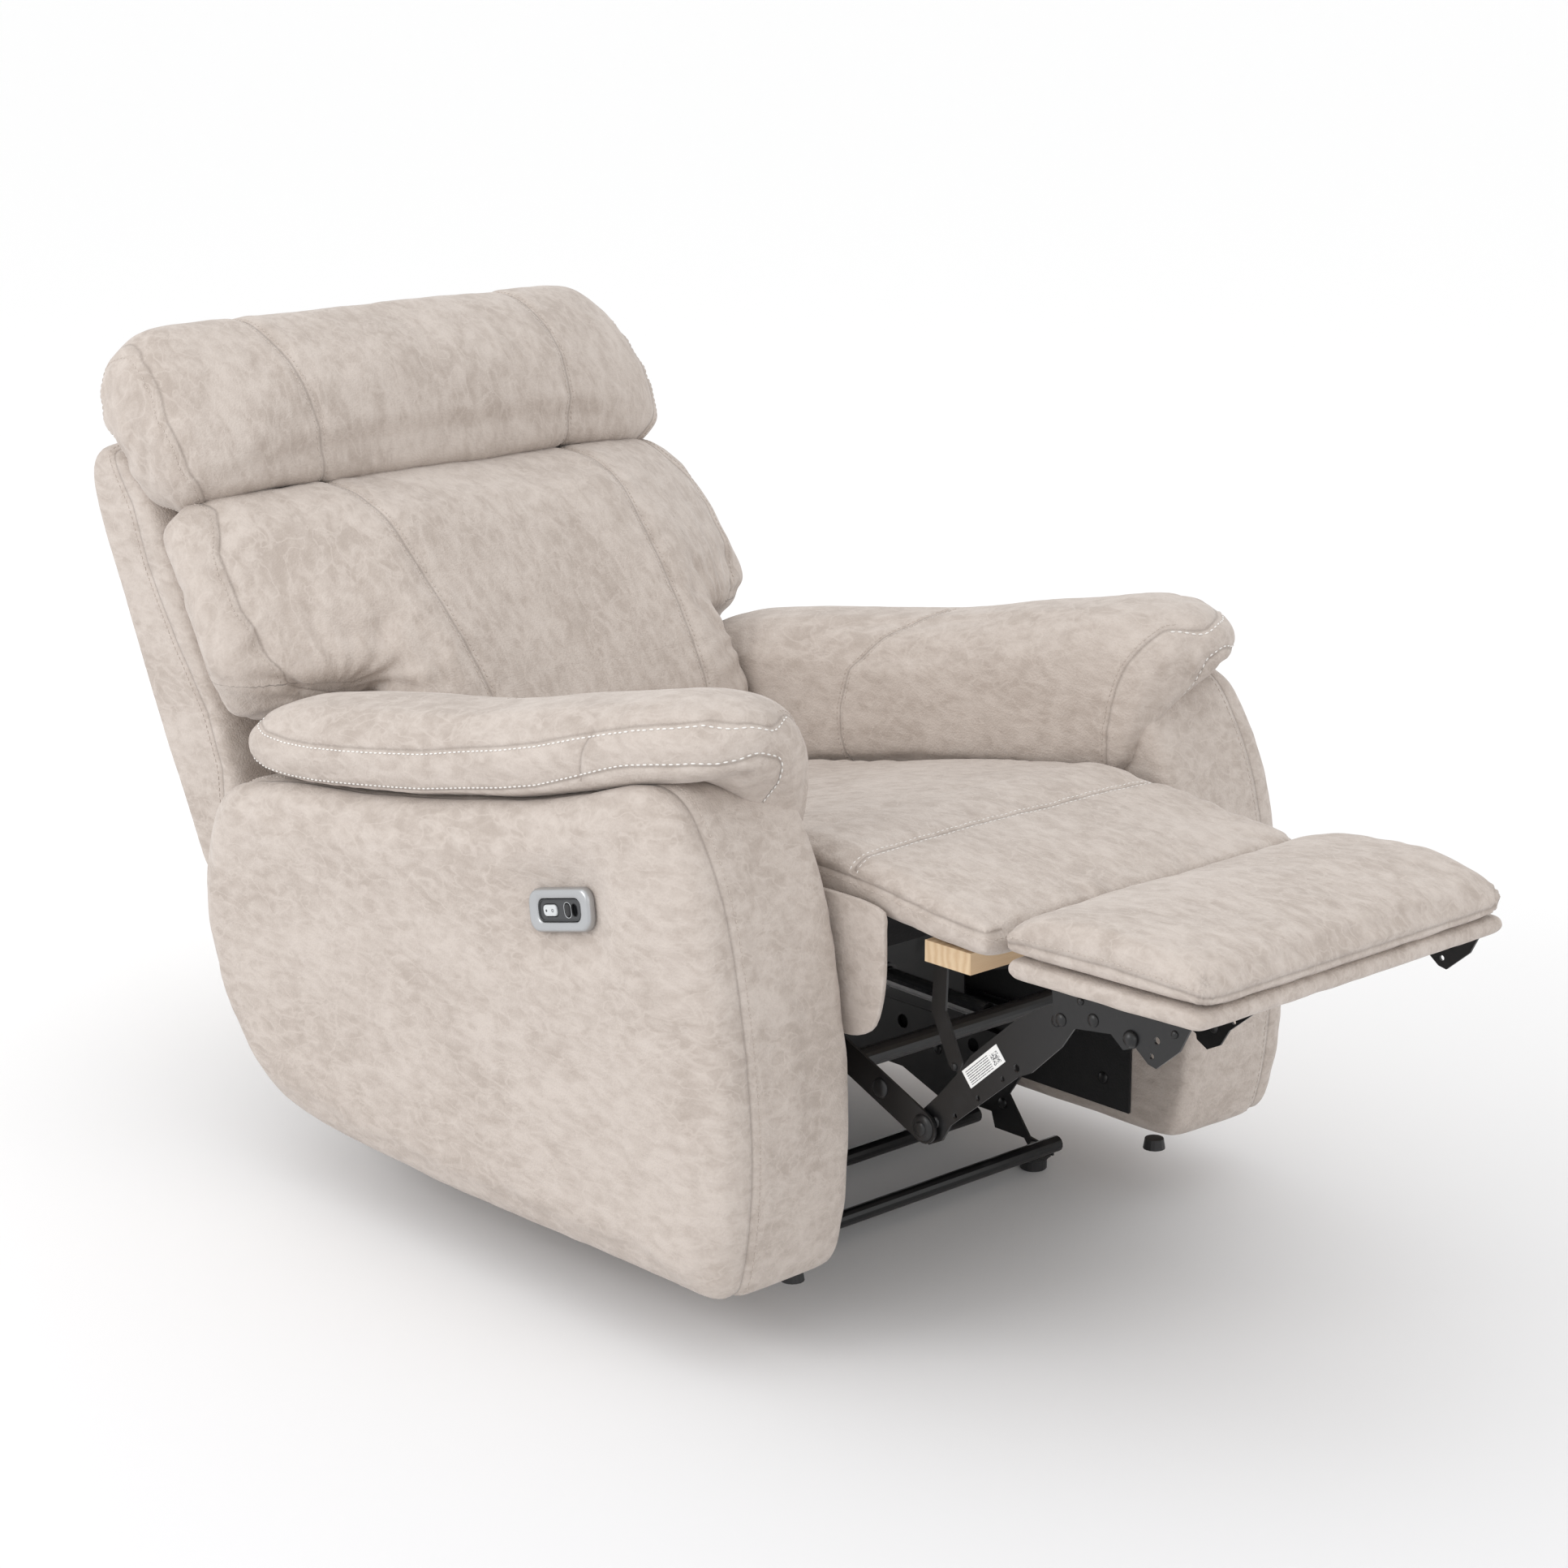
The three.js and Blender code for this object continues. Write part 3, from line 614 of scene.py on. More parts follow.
def relaxed(points, rounds):
    points = points.copy()
    for _ in range(rounds):
        points[1:-1] = points[1:-1] * 0.5 + (points[:-2] + points[2:]) * 0.25
    return points


def group_input(tree, name, kind, value=None):
    socket = tree.interface.new_socket(name, in_out="INPUT", socket_type=kind)
    if value is not None:
        socket.default_value = value
    return socket.identifier


def tree_node(tree, kind, settings=None, sockets=None):
    made = tree.nodes.new(kind)
    for name, value in (settings or {}).items():
        setattr(made, name, value)
    for key, value in (sockets or {}).items():
        if isinstance(value, bpy.types.NodeSocket):
            tree.links.new(value, made.inputs[key])
        else:
            made.inputs[key].default_value = value
    return made


def repeat_tree(name, along):
    """A tree that sets one small solid on each point of a path or of a set of points."""
    tree = bpy.data.node_groups.new(name, "GeometryNodeTree")
    ids = {"Points": group_input(tree, "Points", "NodeSocketGeometry")}
    for label in ("Pitch", "Length", "Width", "Height"):
        ids[label] = group_input(tree, label, "NodeSocketFloat", 0.001)
    ids["Finish"] = group_input(tree, "Finish", "NodeSocketMaterial")
    tree.interface.new_socket("Solids", in_out="OUTPUT", socket_type="NodeSocketGeometry")
    given = tree.nodes.new("NodeGroupInput").outputs
    named = ("GeometryNodeInputNamedAttribute", {"data_type": "FLOAT_VECTOR"})
    facing = tree_node(tree, *named, {"Name": "facing"})
    size = tree_node(
        tree, "ShaderNodeCombineXYZ", {},
        {"X": given["Length"], "Y": given["Width"], "Z": given["Height"]},
    )
    if along:
        path = tree_node(tree, "GeometryNodeMeshToCurve", {}, {"Mesh": given["Points"]})
        spread = tree_node(
            tree, "GeometryNodeResampleCurve", {"mode": "LENGTH"},
            {"Curve": path.outputs[0], "Length": given["Pitch"]},
        )
        points = spread.outputs[0]
        run = tree_node(tree, "GeometryNodeInputTangent").outputs[0]
        facets = {"Segments": 6, "Rings": 4, "Radius": 0.5}
    else:
        points = tree_node(tree, "GeometryNodeMeshToPoints", {}, {"Mesh": given["Points"]}).outputs[0]
        run = tree_node(tree, *named, {"Name": "side"}).outputs[0]
        facets = {"Segments": 20, "Rings": 8, "Radius": 0.5}
    solid = tree_node(tree, "GeometryNodeMeshUVSphere", {}, facets)
    turn = tree_node(
        tree, "FunctionNodeAxesToRotation", {"primary_axis": "Z", "secondary_axis": "X"},
        {0: facing.outputs[0], 1: run},
    )
    put = tree_node(
        tree, "GeometryNodeInstanceOnPoints", {},
        {"Points": points, "Instance": solid.outputs[0], "Rotation": turn.outputs[0],
         "Scale": size.outputs[0]},
    )
    real = tree_node(tree, "GeometryNodeRealizeInstances", {}, {"Geometry": put.outputs[0]})
    shaded = tree_node(
        tree, "GeometryNodeSetMaterial", {},
        {"Geometry": real.outputs[0], "Material": given["Finish"]},
    )
    tree_node(tree, "NodeGroupOutput", {}, {0: shaded.outputs[0]})
    return tree, ids


def grow(name, points, edges, vectors, tree_and_ids, sizes, finish):
    """Runs a repeat tree over points given in millimetres, and returns the plain mesh piece."""
    mesh = bpy.data.meshes.new(name)
    mesh.from_pydata([tuple(p) for p in to_metres(points)], edges, [])
    for label, values in vectors.items():
        layer = mesh.attributes.new(label, "FLOAT_VECTOR", "POINT")
        layer.data.foreach_set("vector", np.asarray(values, np.float32).ravel())
    made = bpy.data.objects.new(name, mesh)
    SCENE.collection.objects.link(made)
    tree, ids = tree_and_ids
    modifier = made.modifiers.new("repeat", "NODES")
    modifier.node_group = tree
    for label, value in sizes.items():
        modifier[ids[label]] = value * MM
    modifier[ids["Finish"]] = finish
    baked(made)
    for label in ("facing", "side"):
        if label in made.data.attributes:
            made.data.attributes.remove(made.data.attributes[label])
    made.data.shade_smooth()
    return made


def stitches(name, chains, finish, pitch=6.6, length=5.2, width=1.1, lift=0.15):
    """A row of thread along each chain of surface points."""
    points, facing, edges = [], [], []
    assert chains, name + " has no seam to follow"
    for run, normals in chains:
        run = relaxed(run, ROW_ROUNDS)
        first = len(points)
        points += list(run + normals * lift)
        facing += list(normals)
        edges += [(i, i + 1) for i in range(first, len(points) - 1)]
    sizes = {"Pitch": pitch, "Length": length, "Width": width, "Height": width}
    return grow(name, points, edges, {"facing": facing}, STITCH_TREE, sizes, finish)


def rivets(name, places, side, finish, radius, height):
    """Round heads on a plate. Each place is (x, y, z); side is -1 or 1 along x."""
    facing = [(side, 0, 0)] * len(places)
    sizes = {"Pitch": 1, "Length": radius * 2, "Width": radius * 2, "Height": height * 2}
    vectors = {"facing": facing, "side": [(0, 0, 1)] * len(places)}
    return grow(name, places, [], vectors, RIVET_TREE, sizes, finish)


def settle(piece, body, slot, *nodes, finish=None, soft=None):
    """Last calls on a finished piece: its material, body and the solids it stands for. The slot is not used."""
    if finish is not None:
        piece.data.materials.clear()
        piece.data.materials.append(finish)
    piece.data.shade_smooth()
    if isinstance(body, str):
        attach(piece, body)
    if nodes:
        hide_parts(*nodes)
    return piece


def mirror_piece(piece, name):
    mesh = piece.data.copy()
    mesh.name = name
    mesh.transform(Matrix.Diagonal((-1, 1, 1, 1)))
    mesh.flip_normals()
    made = bpy.data.objects.new(name, mesh)
    SCENE.collection.objects.link(made)
    return made


def refine(piece):
    modifier = piece.modifiers.new("fine", "SUBSURF")
    modifier.levels = modifier.render_levels = 1
    return baked(piece)


STITCH_TREE = repeat_tree("stitch_row", True)
RIVET_TREE = repeat_tree("rivet_heads", False)


# ---- finishes ----
HIDE_ARM = leather("nubuck_arm", (1, 0.55, 1.3))
HIDE_BACK = leather("nubuck_back", (1.25, 0.8, 0.6), (0.5, 0.35, 0), 0.7)
HIDE_SEAT = leather("nubuck_seat", (1.25, 0.65, 1), (0, 0, 0.5), 1.3)
THREAD_PALE = thread("thread_pale", (0.9, 0.88, 0.85, 1))
THREAD_TONE = thread("thread_tone", (0.6, 0.53, 0.475, 1))
STEEL = painted_steel()
BLACK_PLASTIC = moulded("black_plastic", (0.012, 0.012, 0.013, 1), 0.5)
CHARCOAL = moulded("charcoal_plastic", (0.035, 0.037, 0.04, 1), 0.36, 0.00003)
GREY = moulded("grey_plastic", (0.6, 0.62, 0.63, 1), 0.34, 0.00003)
SILVER = satin_silver()
ROD_STEEL = turned_steel()
LINING = board_cloth()
PINE = sawn_pine()


# ---- arms ----
ARM_SEAM_X = 401
ARM_OUTLINE = [
    (0, 76), (60, 74), (210, 73), (430, 70), (660, 76), (790, 100), (862, 172), (905, 262), (910, 338),
    (878, 438), (800, 470), (560, 500), (360, 536), (230, 568), (150, 594), (104, 600), (62, 580),
    (14, 492), (-13, 382), (-28, 250), (-23, 150), (-9, 92),
]
# Sections along an arm pad: y, crest height, then the lower outer and inner edges, and the
# outer and inner half widths.
PAD_ROWS = [
    (20, 650, 630, 616, 360, 304), (27, 663, 622, 602, 376, 286), (40, 671, 615, 578, 392, 270),
    (54, 675, 611, 552, 404, 257), (66, 677, 608, 520, 410, 250), (82, 679, 605, 498, 416, 247),
    (100, 679, 602, 490, 420, 246),
    (130, 677, 596, 486, 425, 247), (172, 669, 585, 478, 428, 246), (224, 658, 570, 470, 429, 246),
    (282, 646, 554, 460, 429, 246), (340, 632, 541, 450, 429, 246), (410, 617, 528, 438, 429, 246),
    (480, 604, 514, 424, 429, 246), (550, 594, 503, 411, 429, 246), (620, 584, 493, 398, 429, 246),
    (680, 575, 485, 390, 428, 246), (735, 565, 480, 384, 426, 247), (790, 554, 479, 386, 422, 250),
    (828, 541, 484, 402, 412, 257), (850, 524, 496, 440, 396, 272),
]
CONTROL = {"y": 224, "z": 449, "tilt": math.radians(-13)}


def pad_section(row):
    """A closed section of the arm pad: boxed on its outer side, and dropping inside the arm."""
    y, crest, outer, inner, wide, narrow = row
    rise = crest - outer
    fall = crest - inner
    over = min(1, max(0, (y - 60) / 60))
    notch = over * max(inner + 14, outer + 6) + (1 - over) * (inner + (outer - inner) * 0.3)
    under = over * (outer + 9) + (1 - over) * (inner + (outer - inner) * 0.6)
    points = [
        (wide - 13, outer), (wide - 3, outer + 6), (wide + 1, outer + rise * 0.26),
        (wide, outer + rise * 0.48), (wide - 7, outer + rise * 0.7), (wide - 26, outer + rise * 0.9),
        ((wide + narrow) / 2 + 24, crest - 1), ((wide + narrow) / 2 - 6, crest),
        (narrow + 36, crest - 9), (narrow + 14, crest - 27 * min(1, fall / 90)),
        (narrow + 3, crest - min(58, fall * 0.45)), (narrow, inner + fall * 0.4),
        (narrow + 1, inner + fall * 0.16), (narrow + 9, inner + 2), (narrow + 24, inner + 1),
        (narrow + 34, inner + 12), (narrow + 42, notch), (narrow + 74, under), (wide - 40, outer + 5),
    ]
    return smooth_loop([(-x, z) for x, z in points], 64)


def pad_body():
    rows = smooth_table(PAD_ROWS, 64)
    rings = [[(x, row[0], z) for x, z in pad_section(row)] for row in rows]
    return new_object("arm_pad_cover_right", *loft(rings))


def pad_edge(y):
    """Height of the pad's lower outer edge along its length."""
    table = np.asarray(PAD_ROWS, float)
    return np.interp(y, table[:, 0], table[:, 2])


def arm_body():
    outline = smooth_loop(ARM_OUTLINE, 150)
    layers = [(-447, 84), (-446, 58), (-443, 35), (-437, 18), (-428, 7), (-416, 2), (-401, -1),
              (-380, -1), (-330, 0), (-280, 0), (-264, 3), (-260, 8)]
    return new_object("arm_cover_right", *loft(across(outline, layers, both=False)))


def arm_folds(piece):
    """How far each point of the arm's cover moves: in at the seam, and in soft waves."""
    v = verts_of(piece)
    from_seam = v[:, 0] + ARM_SEAM_X
    waves = cloud(v * (1, 1, 0.8), 95, 3.0) * 1.8 + cloud(v, 38, 5.0) * 0.45
    ripple = np.sin(v[:, 2] / 7.5 + cloud(v, 40, 7.0) * 3) * bell(from_seam + 16, 16) * 0.5
    return waves + ripple - 3.5 * bell(from_seam, 8)


def control_hollow(piece):
    """Draws the cover in round the control panel, with puckers at its corners."""
    v = verts_of(piece)
    c, s = math.cos(CONTROL["tilt"]), math.sin(CONTROL["tilt"])
    y, z = v[:, 1] - CONTROL["y"], v[:, 2] - CONTROL["z"]
    u, w = np.abs(y * c + z * s) - 46, np.abs(-y * s + z * c) - 18
    gap = np.hypot(np.maximum(u, 0), np.maximum(w, 0)) + np.minimum(np.maximum(u, w), 0)
    outer = v[:, 0] < -ARM_SEAM_X - 10
    turn = np.arctan2(z, y)
    puckers = np.sin(turn * 7 + 0.8) * bell(gap - 22, 16) * 1.3
    depth = 15 * bell(np.maximum(gap - 6, 0), 30) + puckers
    v[:, 0] += np.where(outer, depth, 0)
    inside = outer & (gap < 9)
    v[inside, 0] = np.maximum(v[inside, 0], -434.5)
    set_verts(piece, v)


def make_arms():
    cover = stuff(skinned(arm_body(), 9.0, 6), 4, 3.0)
    pad = stuff(skinned(pad_body(), 5.5, 5), 5, 3.0)
    return cover, pad


def dress_arms(cover, pad):
    refine(cover)
    push(cover, arm_folds(cover))
    v = verts_of(cover)
    v[:, 0] = np.minimum(v[:, 0], -260.6)
    set_verts(cover, v)
    left = mirror_piece(cover, "arm_cover_left")
    control_hollow(cover)
    for piece, side in ((cover, "right"), (left, "left")):
        v = verts_of(piece)
        from_seam = np.abs(v[:, 0]) - ARM_SEAM_X
        mark_seams(piece, from_seam)
        shown = v[:, 2] < np.interp(v[:, 1], [60, 130, 340, 620, 900], [640, 592, 532, 484, 462])
        rows = contours(piece, from_seam, -9.0, shown)
        thread_row = stitches("arm_stitches_" + side, rows, THREAD_TONE, 7.4, 4.8, 1.3, 0.3)
        settle(piece, "base", "leather", "arm_" + side, finish=HIDE_ARM, soft=0.8)
        settle(thread_row, "base", "leather")
    dress_pad(pad)


def pad_seams(v):
    """Signed distances from the pad's two stitched seams, and from the short seam across them.

    The upper seam runs along the outer side, round the nose, and down the inner face. The
    lower one runs off under the nose.
    """
    x, y, z = np.abs(v[:, 0]), v[:, 1], v[:, 2]
    nose = np.clip((90 - y) / 45, 0, 1)
    nose = nose * nose * (3 - 2 * nose) * 52 * np.clip((356 - x) / 92, 0, 1) ** 1.5
    height = z - pad_edge(y) + nose
    lower = height - np.interp(y, [20, 60, 148, 282, 438, 804], [8, 18, 20, 11, 8, 6])
    upper = height - np.interp(y, [20, 60, 219, 345, 477, 804], [42, 60, 60, 56, 52, 50])
    share = np.clip((x - 280) / 55, 0, 1)
    share = share * share * (3 - 2 * share)
    front = inner_front(v)
    upper = upper * share + front * (1 - share)
    lower = lower * share + (front + 24 + 190 * (1 - share)) * (1 - share)
    return lower, upper, y - 205 + (z - 600) * 0.25


def dress_pad(pad):
    refine(pad)
    v = verts_of(pad)
    lower, upper, cross = pad_seams(v)
    rim = (v[:, 0] < -348) | (v[:, 1] < 110)
    inside = v[:, 0] > -330
    ahead = np.clip(-cross / 30, 0, 1)
    amount = -1.6 * (bell(lower, 5) + bell(upper, 5)) * rim
    amount += 1.4 * bell((lower + upper) / 2, 12) * rim
    amount -= 1.6 * bell(cross, 5) * rim * (lower > -6) * (upper < 4)
    gathers = np.sin((v[:, 1] - v[:, 2] * 0.8) / 5.5 + cloud(v, 45, 4.0) * 2.4)
    amount += gathers * bell(upper, 34) * rim * (0.16 + 0.75 * ahead * bell(cross + 60, 70))
    amount += cloud(v, 80, 9.0) * 1.2 + cloud(v, 26, 1.0) * 0.3
    amount -= 1.8 * bell(inner_cross(v), 6) * inside
    push(pad, amount)
    left = mirror_piece(pad, "arm_pad_cover_left")
    for piece, side in ((pad, "right"), (left, "left")):
        v = verts_of(piece)
        v[:, 0] = -np.abs(v[:, 0])
        lower, upper, cross = pad_seams(v)
        rim = (v[:, 0] < -348) | (v[:, 1] < 110)
        inside = v[:, 0] > -336
        strip = (v[:, 0] < -348) & (lower > -6) & (upper < 3)
        both = lower * upper / (np.abs(lower) + np.abs(upper) + 1e-6)
        inner = inner_cross(v)
        short = np.where(strip, cross, np.where(inside, inner, NO_SEAM))
        mark_seams(piece, np.where(rim, both, NO_SEAM), short)
        outer = rim & (v[:, 0] < -290)
        rows = contours(piece, upper, -4.0, outer) + contours(piece, lower, 2.6, outer)
        pale = stitches("pad_stitches_" + side, rows, THREAD_PALE, 8.2, 6.0, 1.9, 0.5)
        quiet = contours(piece, inner, 4.6, inside) + contours(piece, inner, -4.6, inside)
        quiet += contours(piece, upper, 6.0, rim & (v[:, 0] > -300))
        tone = stitches("pad_inner_stitches_" + side, quiet, THREAD_TONE, 6.4, 4.6, 1.1, 0.3)
        settle(piece, "base", "leather", "arm_pad_" + side, finish=HIDE_ARM, soft=0.8)
        settle(pale, "base", "leather")
        settle(tone, "base", "leather")


def inner_front(v):
    """Distance behind the seam that curls down the pad's inner face near its front."""
    line = np.interp(v[:, 2], [500, 546, 585, 620, 641, 662, 680], [98, 95, 88, 76, 64, 52, 44])
    return v[:, 1] - line


def inner_cross(v):
    """Distance behind the double seam across the pad's inner face."""
    heights = [380, 430, 460, 495, 543, 585, 607, 640]
    line = np.interp(v[:, 2], heights, [508, 519, 528, 530, 518, 482, 450, 400])
    return (v[:, 1] - line) * 0.93


# ---- back and head ----
SHELL_OUTLINE = [
    (1016, 297), (1060, 376), (1109, 460), (1170, 591), (1222, 695), (1241, 752), (1234, 783), (1206, 797),
    (1168, 786), (1120, 746), (1078, 680), (1030, 590), (984, 506), (952, 430), (946, 364), (972, 308),
]
WING_OUTLINE = [
    (905, 512), (870, 538), (856, 577), (886, 634), (930, 694), (966, 738), (1004, 756), (1046, 750),
    (1074, 712), (1076, 666), (1036, 590), (986, 520), (945, 504),
]
LUMBAR_OUTLINE = [
    (668, 448), (668, 478), (682, 512), (703, 545), (735, 588), (789, 650), (852, 710), (910, 746), (960, 756),
    (1010, 754), (1046, 740), (1078, 690), (1052, 594), (1004, 508), (970, 440), (940, 424), (830, 427),
    (705, 427), (678, 432),
]
HEAD_OUTLINE = [
    (1008, 758), (995, 776), (1008, 808), (1052, 872), (1094, 916), (1134, 944), (1166, 941), (1196, 914),
    (1205, 872), (1187, 822), (1152, 794), (1120, 756), (1066, 752),
]
SHELL_SEAM = [(1180, 801), (1134, 740), (1106, 671), (1047, 583), (988, 508), (960, 440), (958, 380)]


def distance_to(points, line):
    """Signed distance in side view from a run of straight pieces."""
    best = np.full(len(points), 1e9)
    sign = np.ones(len(points))
    for (y0, z0), (y1, z1) in zip(line, line[1:]):
        dy, dz = y1 - y0, z1 - z0
        t = np.clip(((points[:, 1] - y0) * dy + (points[:, 2] - z0) * dz) / (dy * dy + dz * dz), 0, 1)
        gap = np.hypot(points[:, 1] - y0 - t * dy, points[:, 2] - z0 - t * dz)
        side = np.sign(dy * (points[:, 2] - z0) - dz * (points[:, 1] - y0))
        closer = gap < best
        best[closer], sign[closer] = gap[closer], side[closer]
    return best * sign


def joined(name, *pieces):
    """Several rough shapes in one object."""
    work = bmesh.new()
    for piece in pieces:
        work.from_mesh(piece.data)
        bpy.data.objects.remove(piece)
    mesh = bpy.data.meshes.new(name)
    work.to_mesh(mesh)
    work.free()
    made = bpy.data.objects.new(name, mesh)
    SCENE.collection.objects.link(made)
    return made


def head_body():
    """The head pillow: blunt boxed ends, and a middle that stands forward of them."""
    layers = [(383, 62), (382, 46), (380, 32), (375, 20), (366, 11), (350, 5), (330, 1), (300, 0),
              (260, 0), (215, 0), (170, 0), (110, 0), (40, 0)]
    shaped = []
    for ring in across(smooth_loop(HEAD_OUTLINE, 90), layers):
        p = np.array(ring)
        crown = 1.1 * (1 - np.minimum(1, np.abs(p[:, 0]) / 388) ** 2.6)
        front = np.clip((1160 - p[:, 1]) / 100, 0, 1)
        front = front * front * (3 - 2 * front)
        reach = 20 + 38 * np.sin(np.clip((p[:, 2] - 750) / 165, 0, 1) * math.pi / 2) ** 1.5
        wide = np.interp(p[:, 2], [750, 785, 835, 900, 950], [0.91, 0.985, 1.0, 0.97, 0.93])
        droop = np.clip((np.abs(p[:, 0]) - 290) / 60, 0, 1) * np.clip((p[:, 1] - 1000) / 40, 0, 1)
        p[:, 2] -= 32 * droop * np.clip((805 - p[:, 2]) / 50, 0, 1)
        p[:, 2] += 4 * crown * bell(p[:, 1] - 1090, 50)
        p[:, 1] -= reach * crown * front
        p[:, 0] *= wide
        shaped.append(p)
    return new_object("head_cover", *loft(shaped))


def wing_ring(ring):
    """Carries a wing's front face forward, more and more towards the middle of the back."""
    p = np.array(ring)
    inward = 1 - np.clip((np.abs(p[:, 0]) - 100) / 262, 0, 1) ** 2
    middle = np.interp(p[:, 2], [577, 634, 692, 732], [941, 974, 1005, 1014])
    front = np.clip((middle - p[:, 1]) / 50, 0, 1)
    reach = np.interp(p[:, 2], [541, 560, 580, 600, 648, 709, 743], [36, 86, 110, 120, 113, 106, 92])
    corner = np.interp(p[:, 2], [577, 640, 685, 720], [935, 985, 1012, 1040])
    p[:, 0] *= 1 - 0.28 * np.clip((p[:, 1] - corner + 20) / 80, 0, 1) ** 2
    heights = [545, 570, 600, 650, 700, 746]
    p[:, 0] *= np.interp(p[:, 2], heights, [0.97, 1.012, 1.014, 1.0, 0.985, 0.955])
    p[:, 1] -= reach * inward * front
    return p


def back_body():
    layers = [(402, 56), (401, 42), (398, 28), (391, 17), (380, 9), (365, 4), (348, 1), (325, 0),
              (300, 0), (280, 0), (260, 0), (240, 0), (215, 0), (190, 0), (120, 0)]
    rings = across(smooth_loop(WING_OUTLINE, 110), layers)
    wings = new_object("wings", *loft([wing_ring(ring) for ring in rings]))
    lumbar = smooth_loop(LUMBAR_OUTLINE, 150)
    middle = new_object("lumbar", *loft(across(
        lumbar, [(240, 26), (237, 16), (229, 8), (215, 3), (190, 0), (120, 0)],
    )))
    return joined("back_cover", wings, middle)


def shell_body():
    outline = smooth_loop(SHELL_OUTLINE, 110)
    rings = across(outline, [(356, 16), (355, 8), (351, 2), (343, -2), (328, -4), (240, -4)])
    return new_object("shell_cover", *loft(rings))


def upright_seam(v, low, high):
    """Distance from a pair of seams that lean apart from their bottom to their top."""
    (z0, x0), (z1, x1) = low, high
    return np.abs(v[:, 0]) - np.interp(v[:, 2], [z0, z1], [x0, x1])


def head_end(v):
    """Half width of the seam that edges each end of the head pillow."""
    return np.interp(v[:, 2], [750, 790, 846, 913, 949], [332, 357, 364, 353, 336])


def dress_head(head):
    refine(head)
    v, n = verts_of(head), normals_of(head)
    upright = upright_seam(v, (760, 187), (951, 204))
    ends = np.abs(v[:, 0]) - head_end(v)
    shown = (n[:, 1] < 0.35) | (n[:, 2] > 0.5)
    ripple = np.sin(v[:, 2] / 6.5 + cloud(v, 50, 2.0) * 3) * bell(np.abs(upright) - 14, 13) * 0.8
    ripple += np.sin(v[:, 2] / 8.0 + v[:, 1] / 9 + cloud(v, 45, 8.0) * 3) * bell(ends - 16, 16) * 1.1
    waves = cloud(v * (1, 0.7, 0.7), 85, 6.0) * 2.6 + cloud(v * (1.3, 0.8, 0.8), 34, 1.5) * 0.8
    lip = cloud(v * (1.6, 0.5, 0.5), 60, 5.0) * bell(v[:, 2] - 775, 26) * 2.6
    push(head, waves + ripple + lip - 3.4 * bell(upright, 8.5) * shown - 3.2 * bell(ends, 8))
    v = verts_of(head)
    upright = upright_seam(v, (760, 187), (951, 204))
    ends = np.abs(v[:, 0]) - head_end(v)
    mark_seams(head, np.where(shown, upright, NO_SEAM), ends)
    rows = contours(head, upright, 4.6, shown) + contours(head, upright, -4.6, shown)
    rows += contours(head, ends, 8.0, v[:, 2] > 600)
    quiet = stitches("head_stitches", rows, THREAD_TONE, *FINE_STITCH)
    settle(head, "back", "leather", "head_cushion", finish=HIDE_BACK, soft=0.85)
    settle(quiet, "back", "leather")


def back_ends(v):
    """Distance out from the seam that edges the back cushion's front at each wing."""
    side = np.interp(v[:, 2], [540, 560, 591, 645, 705, 747], [312, 336, 356, 368, 364, 338])
    return np.abs(v[:, 0]) - side


def wing_hem(v):
    """Distance from the seam along the bottom of each wing."""
    return v[:, 2] - np.interp(np.abs(v[:, 0]), [230, 262, 300, 320, 350], [520, 536, 548, 552, 566])


def dress_back(back):
    refine(back)
    v, n = verts_of(back), normals_of(back)
    upright = upright_seam(v, (532, 158), (762, 183))
    shown = (n[:, 1] < 0.4) & (v[:, 2] > 470)
    wings = np.abs(v[:, 0]) > 262
    ends = back_ends(v)
    hem = wing_hem(v)
    corner = np.hypot(np.abs(v[:, 0]) - 290, v[:, 2] - 545)
    turn = np.arctan2(v[:, 2] - 545, np.abs(v[:, 0]) - 290)
    fans = np.sin(turn * 17 + cloud(v, 60, 3.0) * 2.5) * bell(corner - 70, 50) * 1.3 * shown
    ripple = np.sin(v[:, 2] / 6.0 + cloud(v, 50, 2.0) * 3) * bell(np.abs(upright) - 13, 12) * 0.9 * shown
    ripple += np.sin(v[:, 2] / 7.0 + cloud(v, 45, 8.0) * 3) * bell(ends - 14, 15) * 1.2
    waves = cloud(v * (1, 0.7, 0.7), 95, 4.0) * 3.0 + cloud(v * (1.2, 0.8, 0.8), 36, 1.5) * 0.9
    low = -3.6 * bell(upright, 9) * shown - 3.2 * bell(ends, 8) * (v[:, 2] > 545)
    low -= 2.6 * bell(hem, 8) * wings * shown
    push(back, waves + ripple + fans + low)
    v = verts_of(back)
    upright = upright_seam(v, (532, 158), (762, 183))
    ends, hem = back_ends(v), wing_hem(v)
    second = np.where(v[:, 2] > 560, ends, np.where(wings & shown, hem, NO_SEAM))
    mark_seams(back, np.where(shown, upright, NO_SEAM), second)
    rows = contours(back, upright, 4.6, shown) + contours(back, upright, -4.6, shown)
    rows += contours(back, ends, 8.5, v[:, 2] > 562)
    rows += contours(back, hem, -7.0, wings & shown & (ends < 0))
    quiet = stitches("back_stitches", rows, THREAD_TONE, *FINE_STITCH)
    settle(back, "back", "leather", "back_cushion", finish=HIDE_BACK, soft=0.8)
    settle(quiet, "back", "leather")


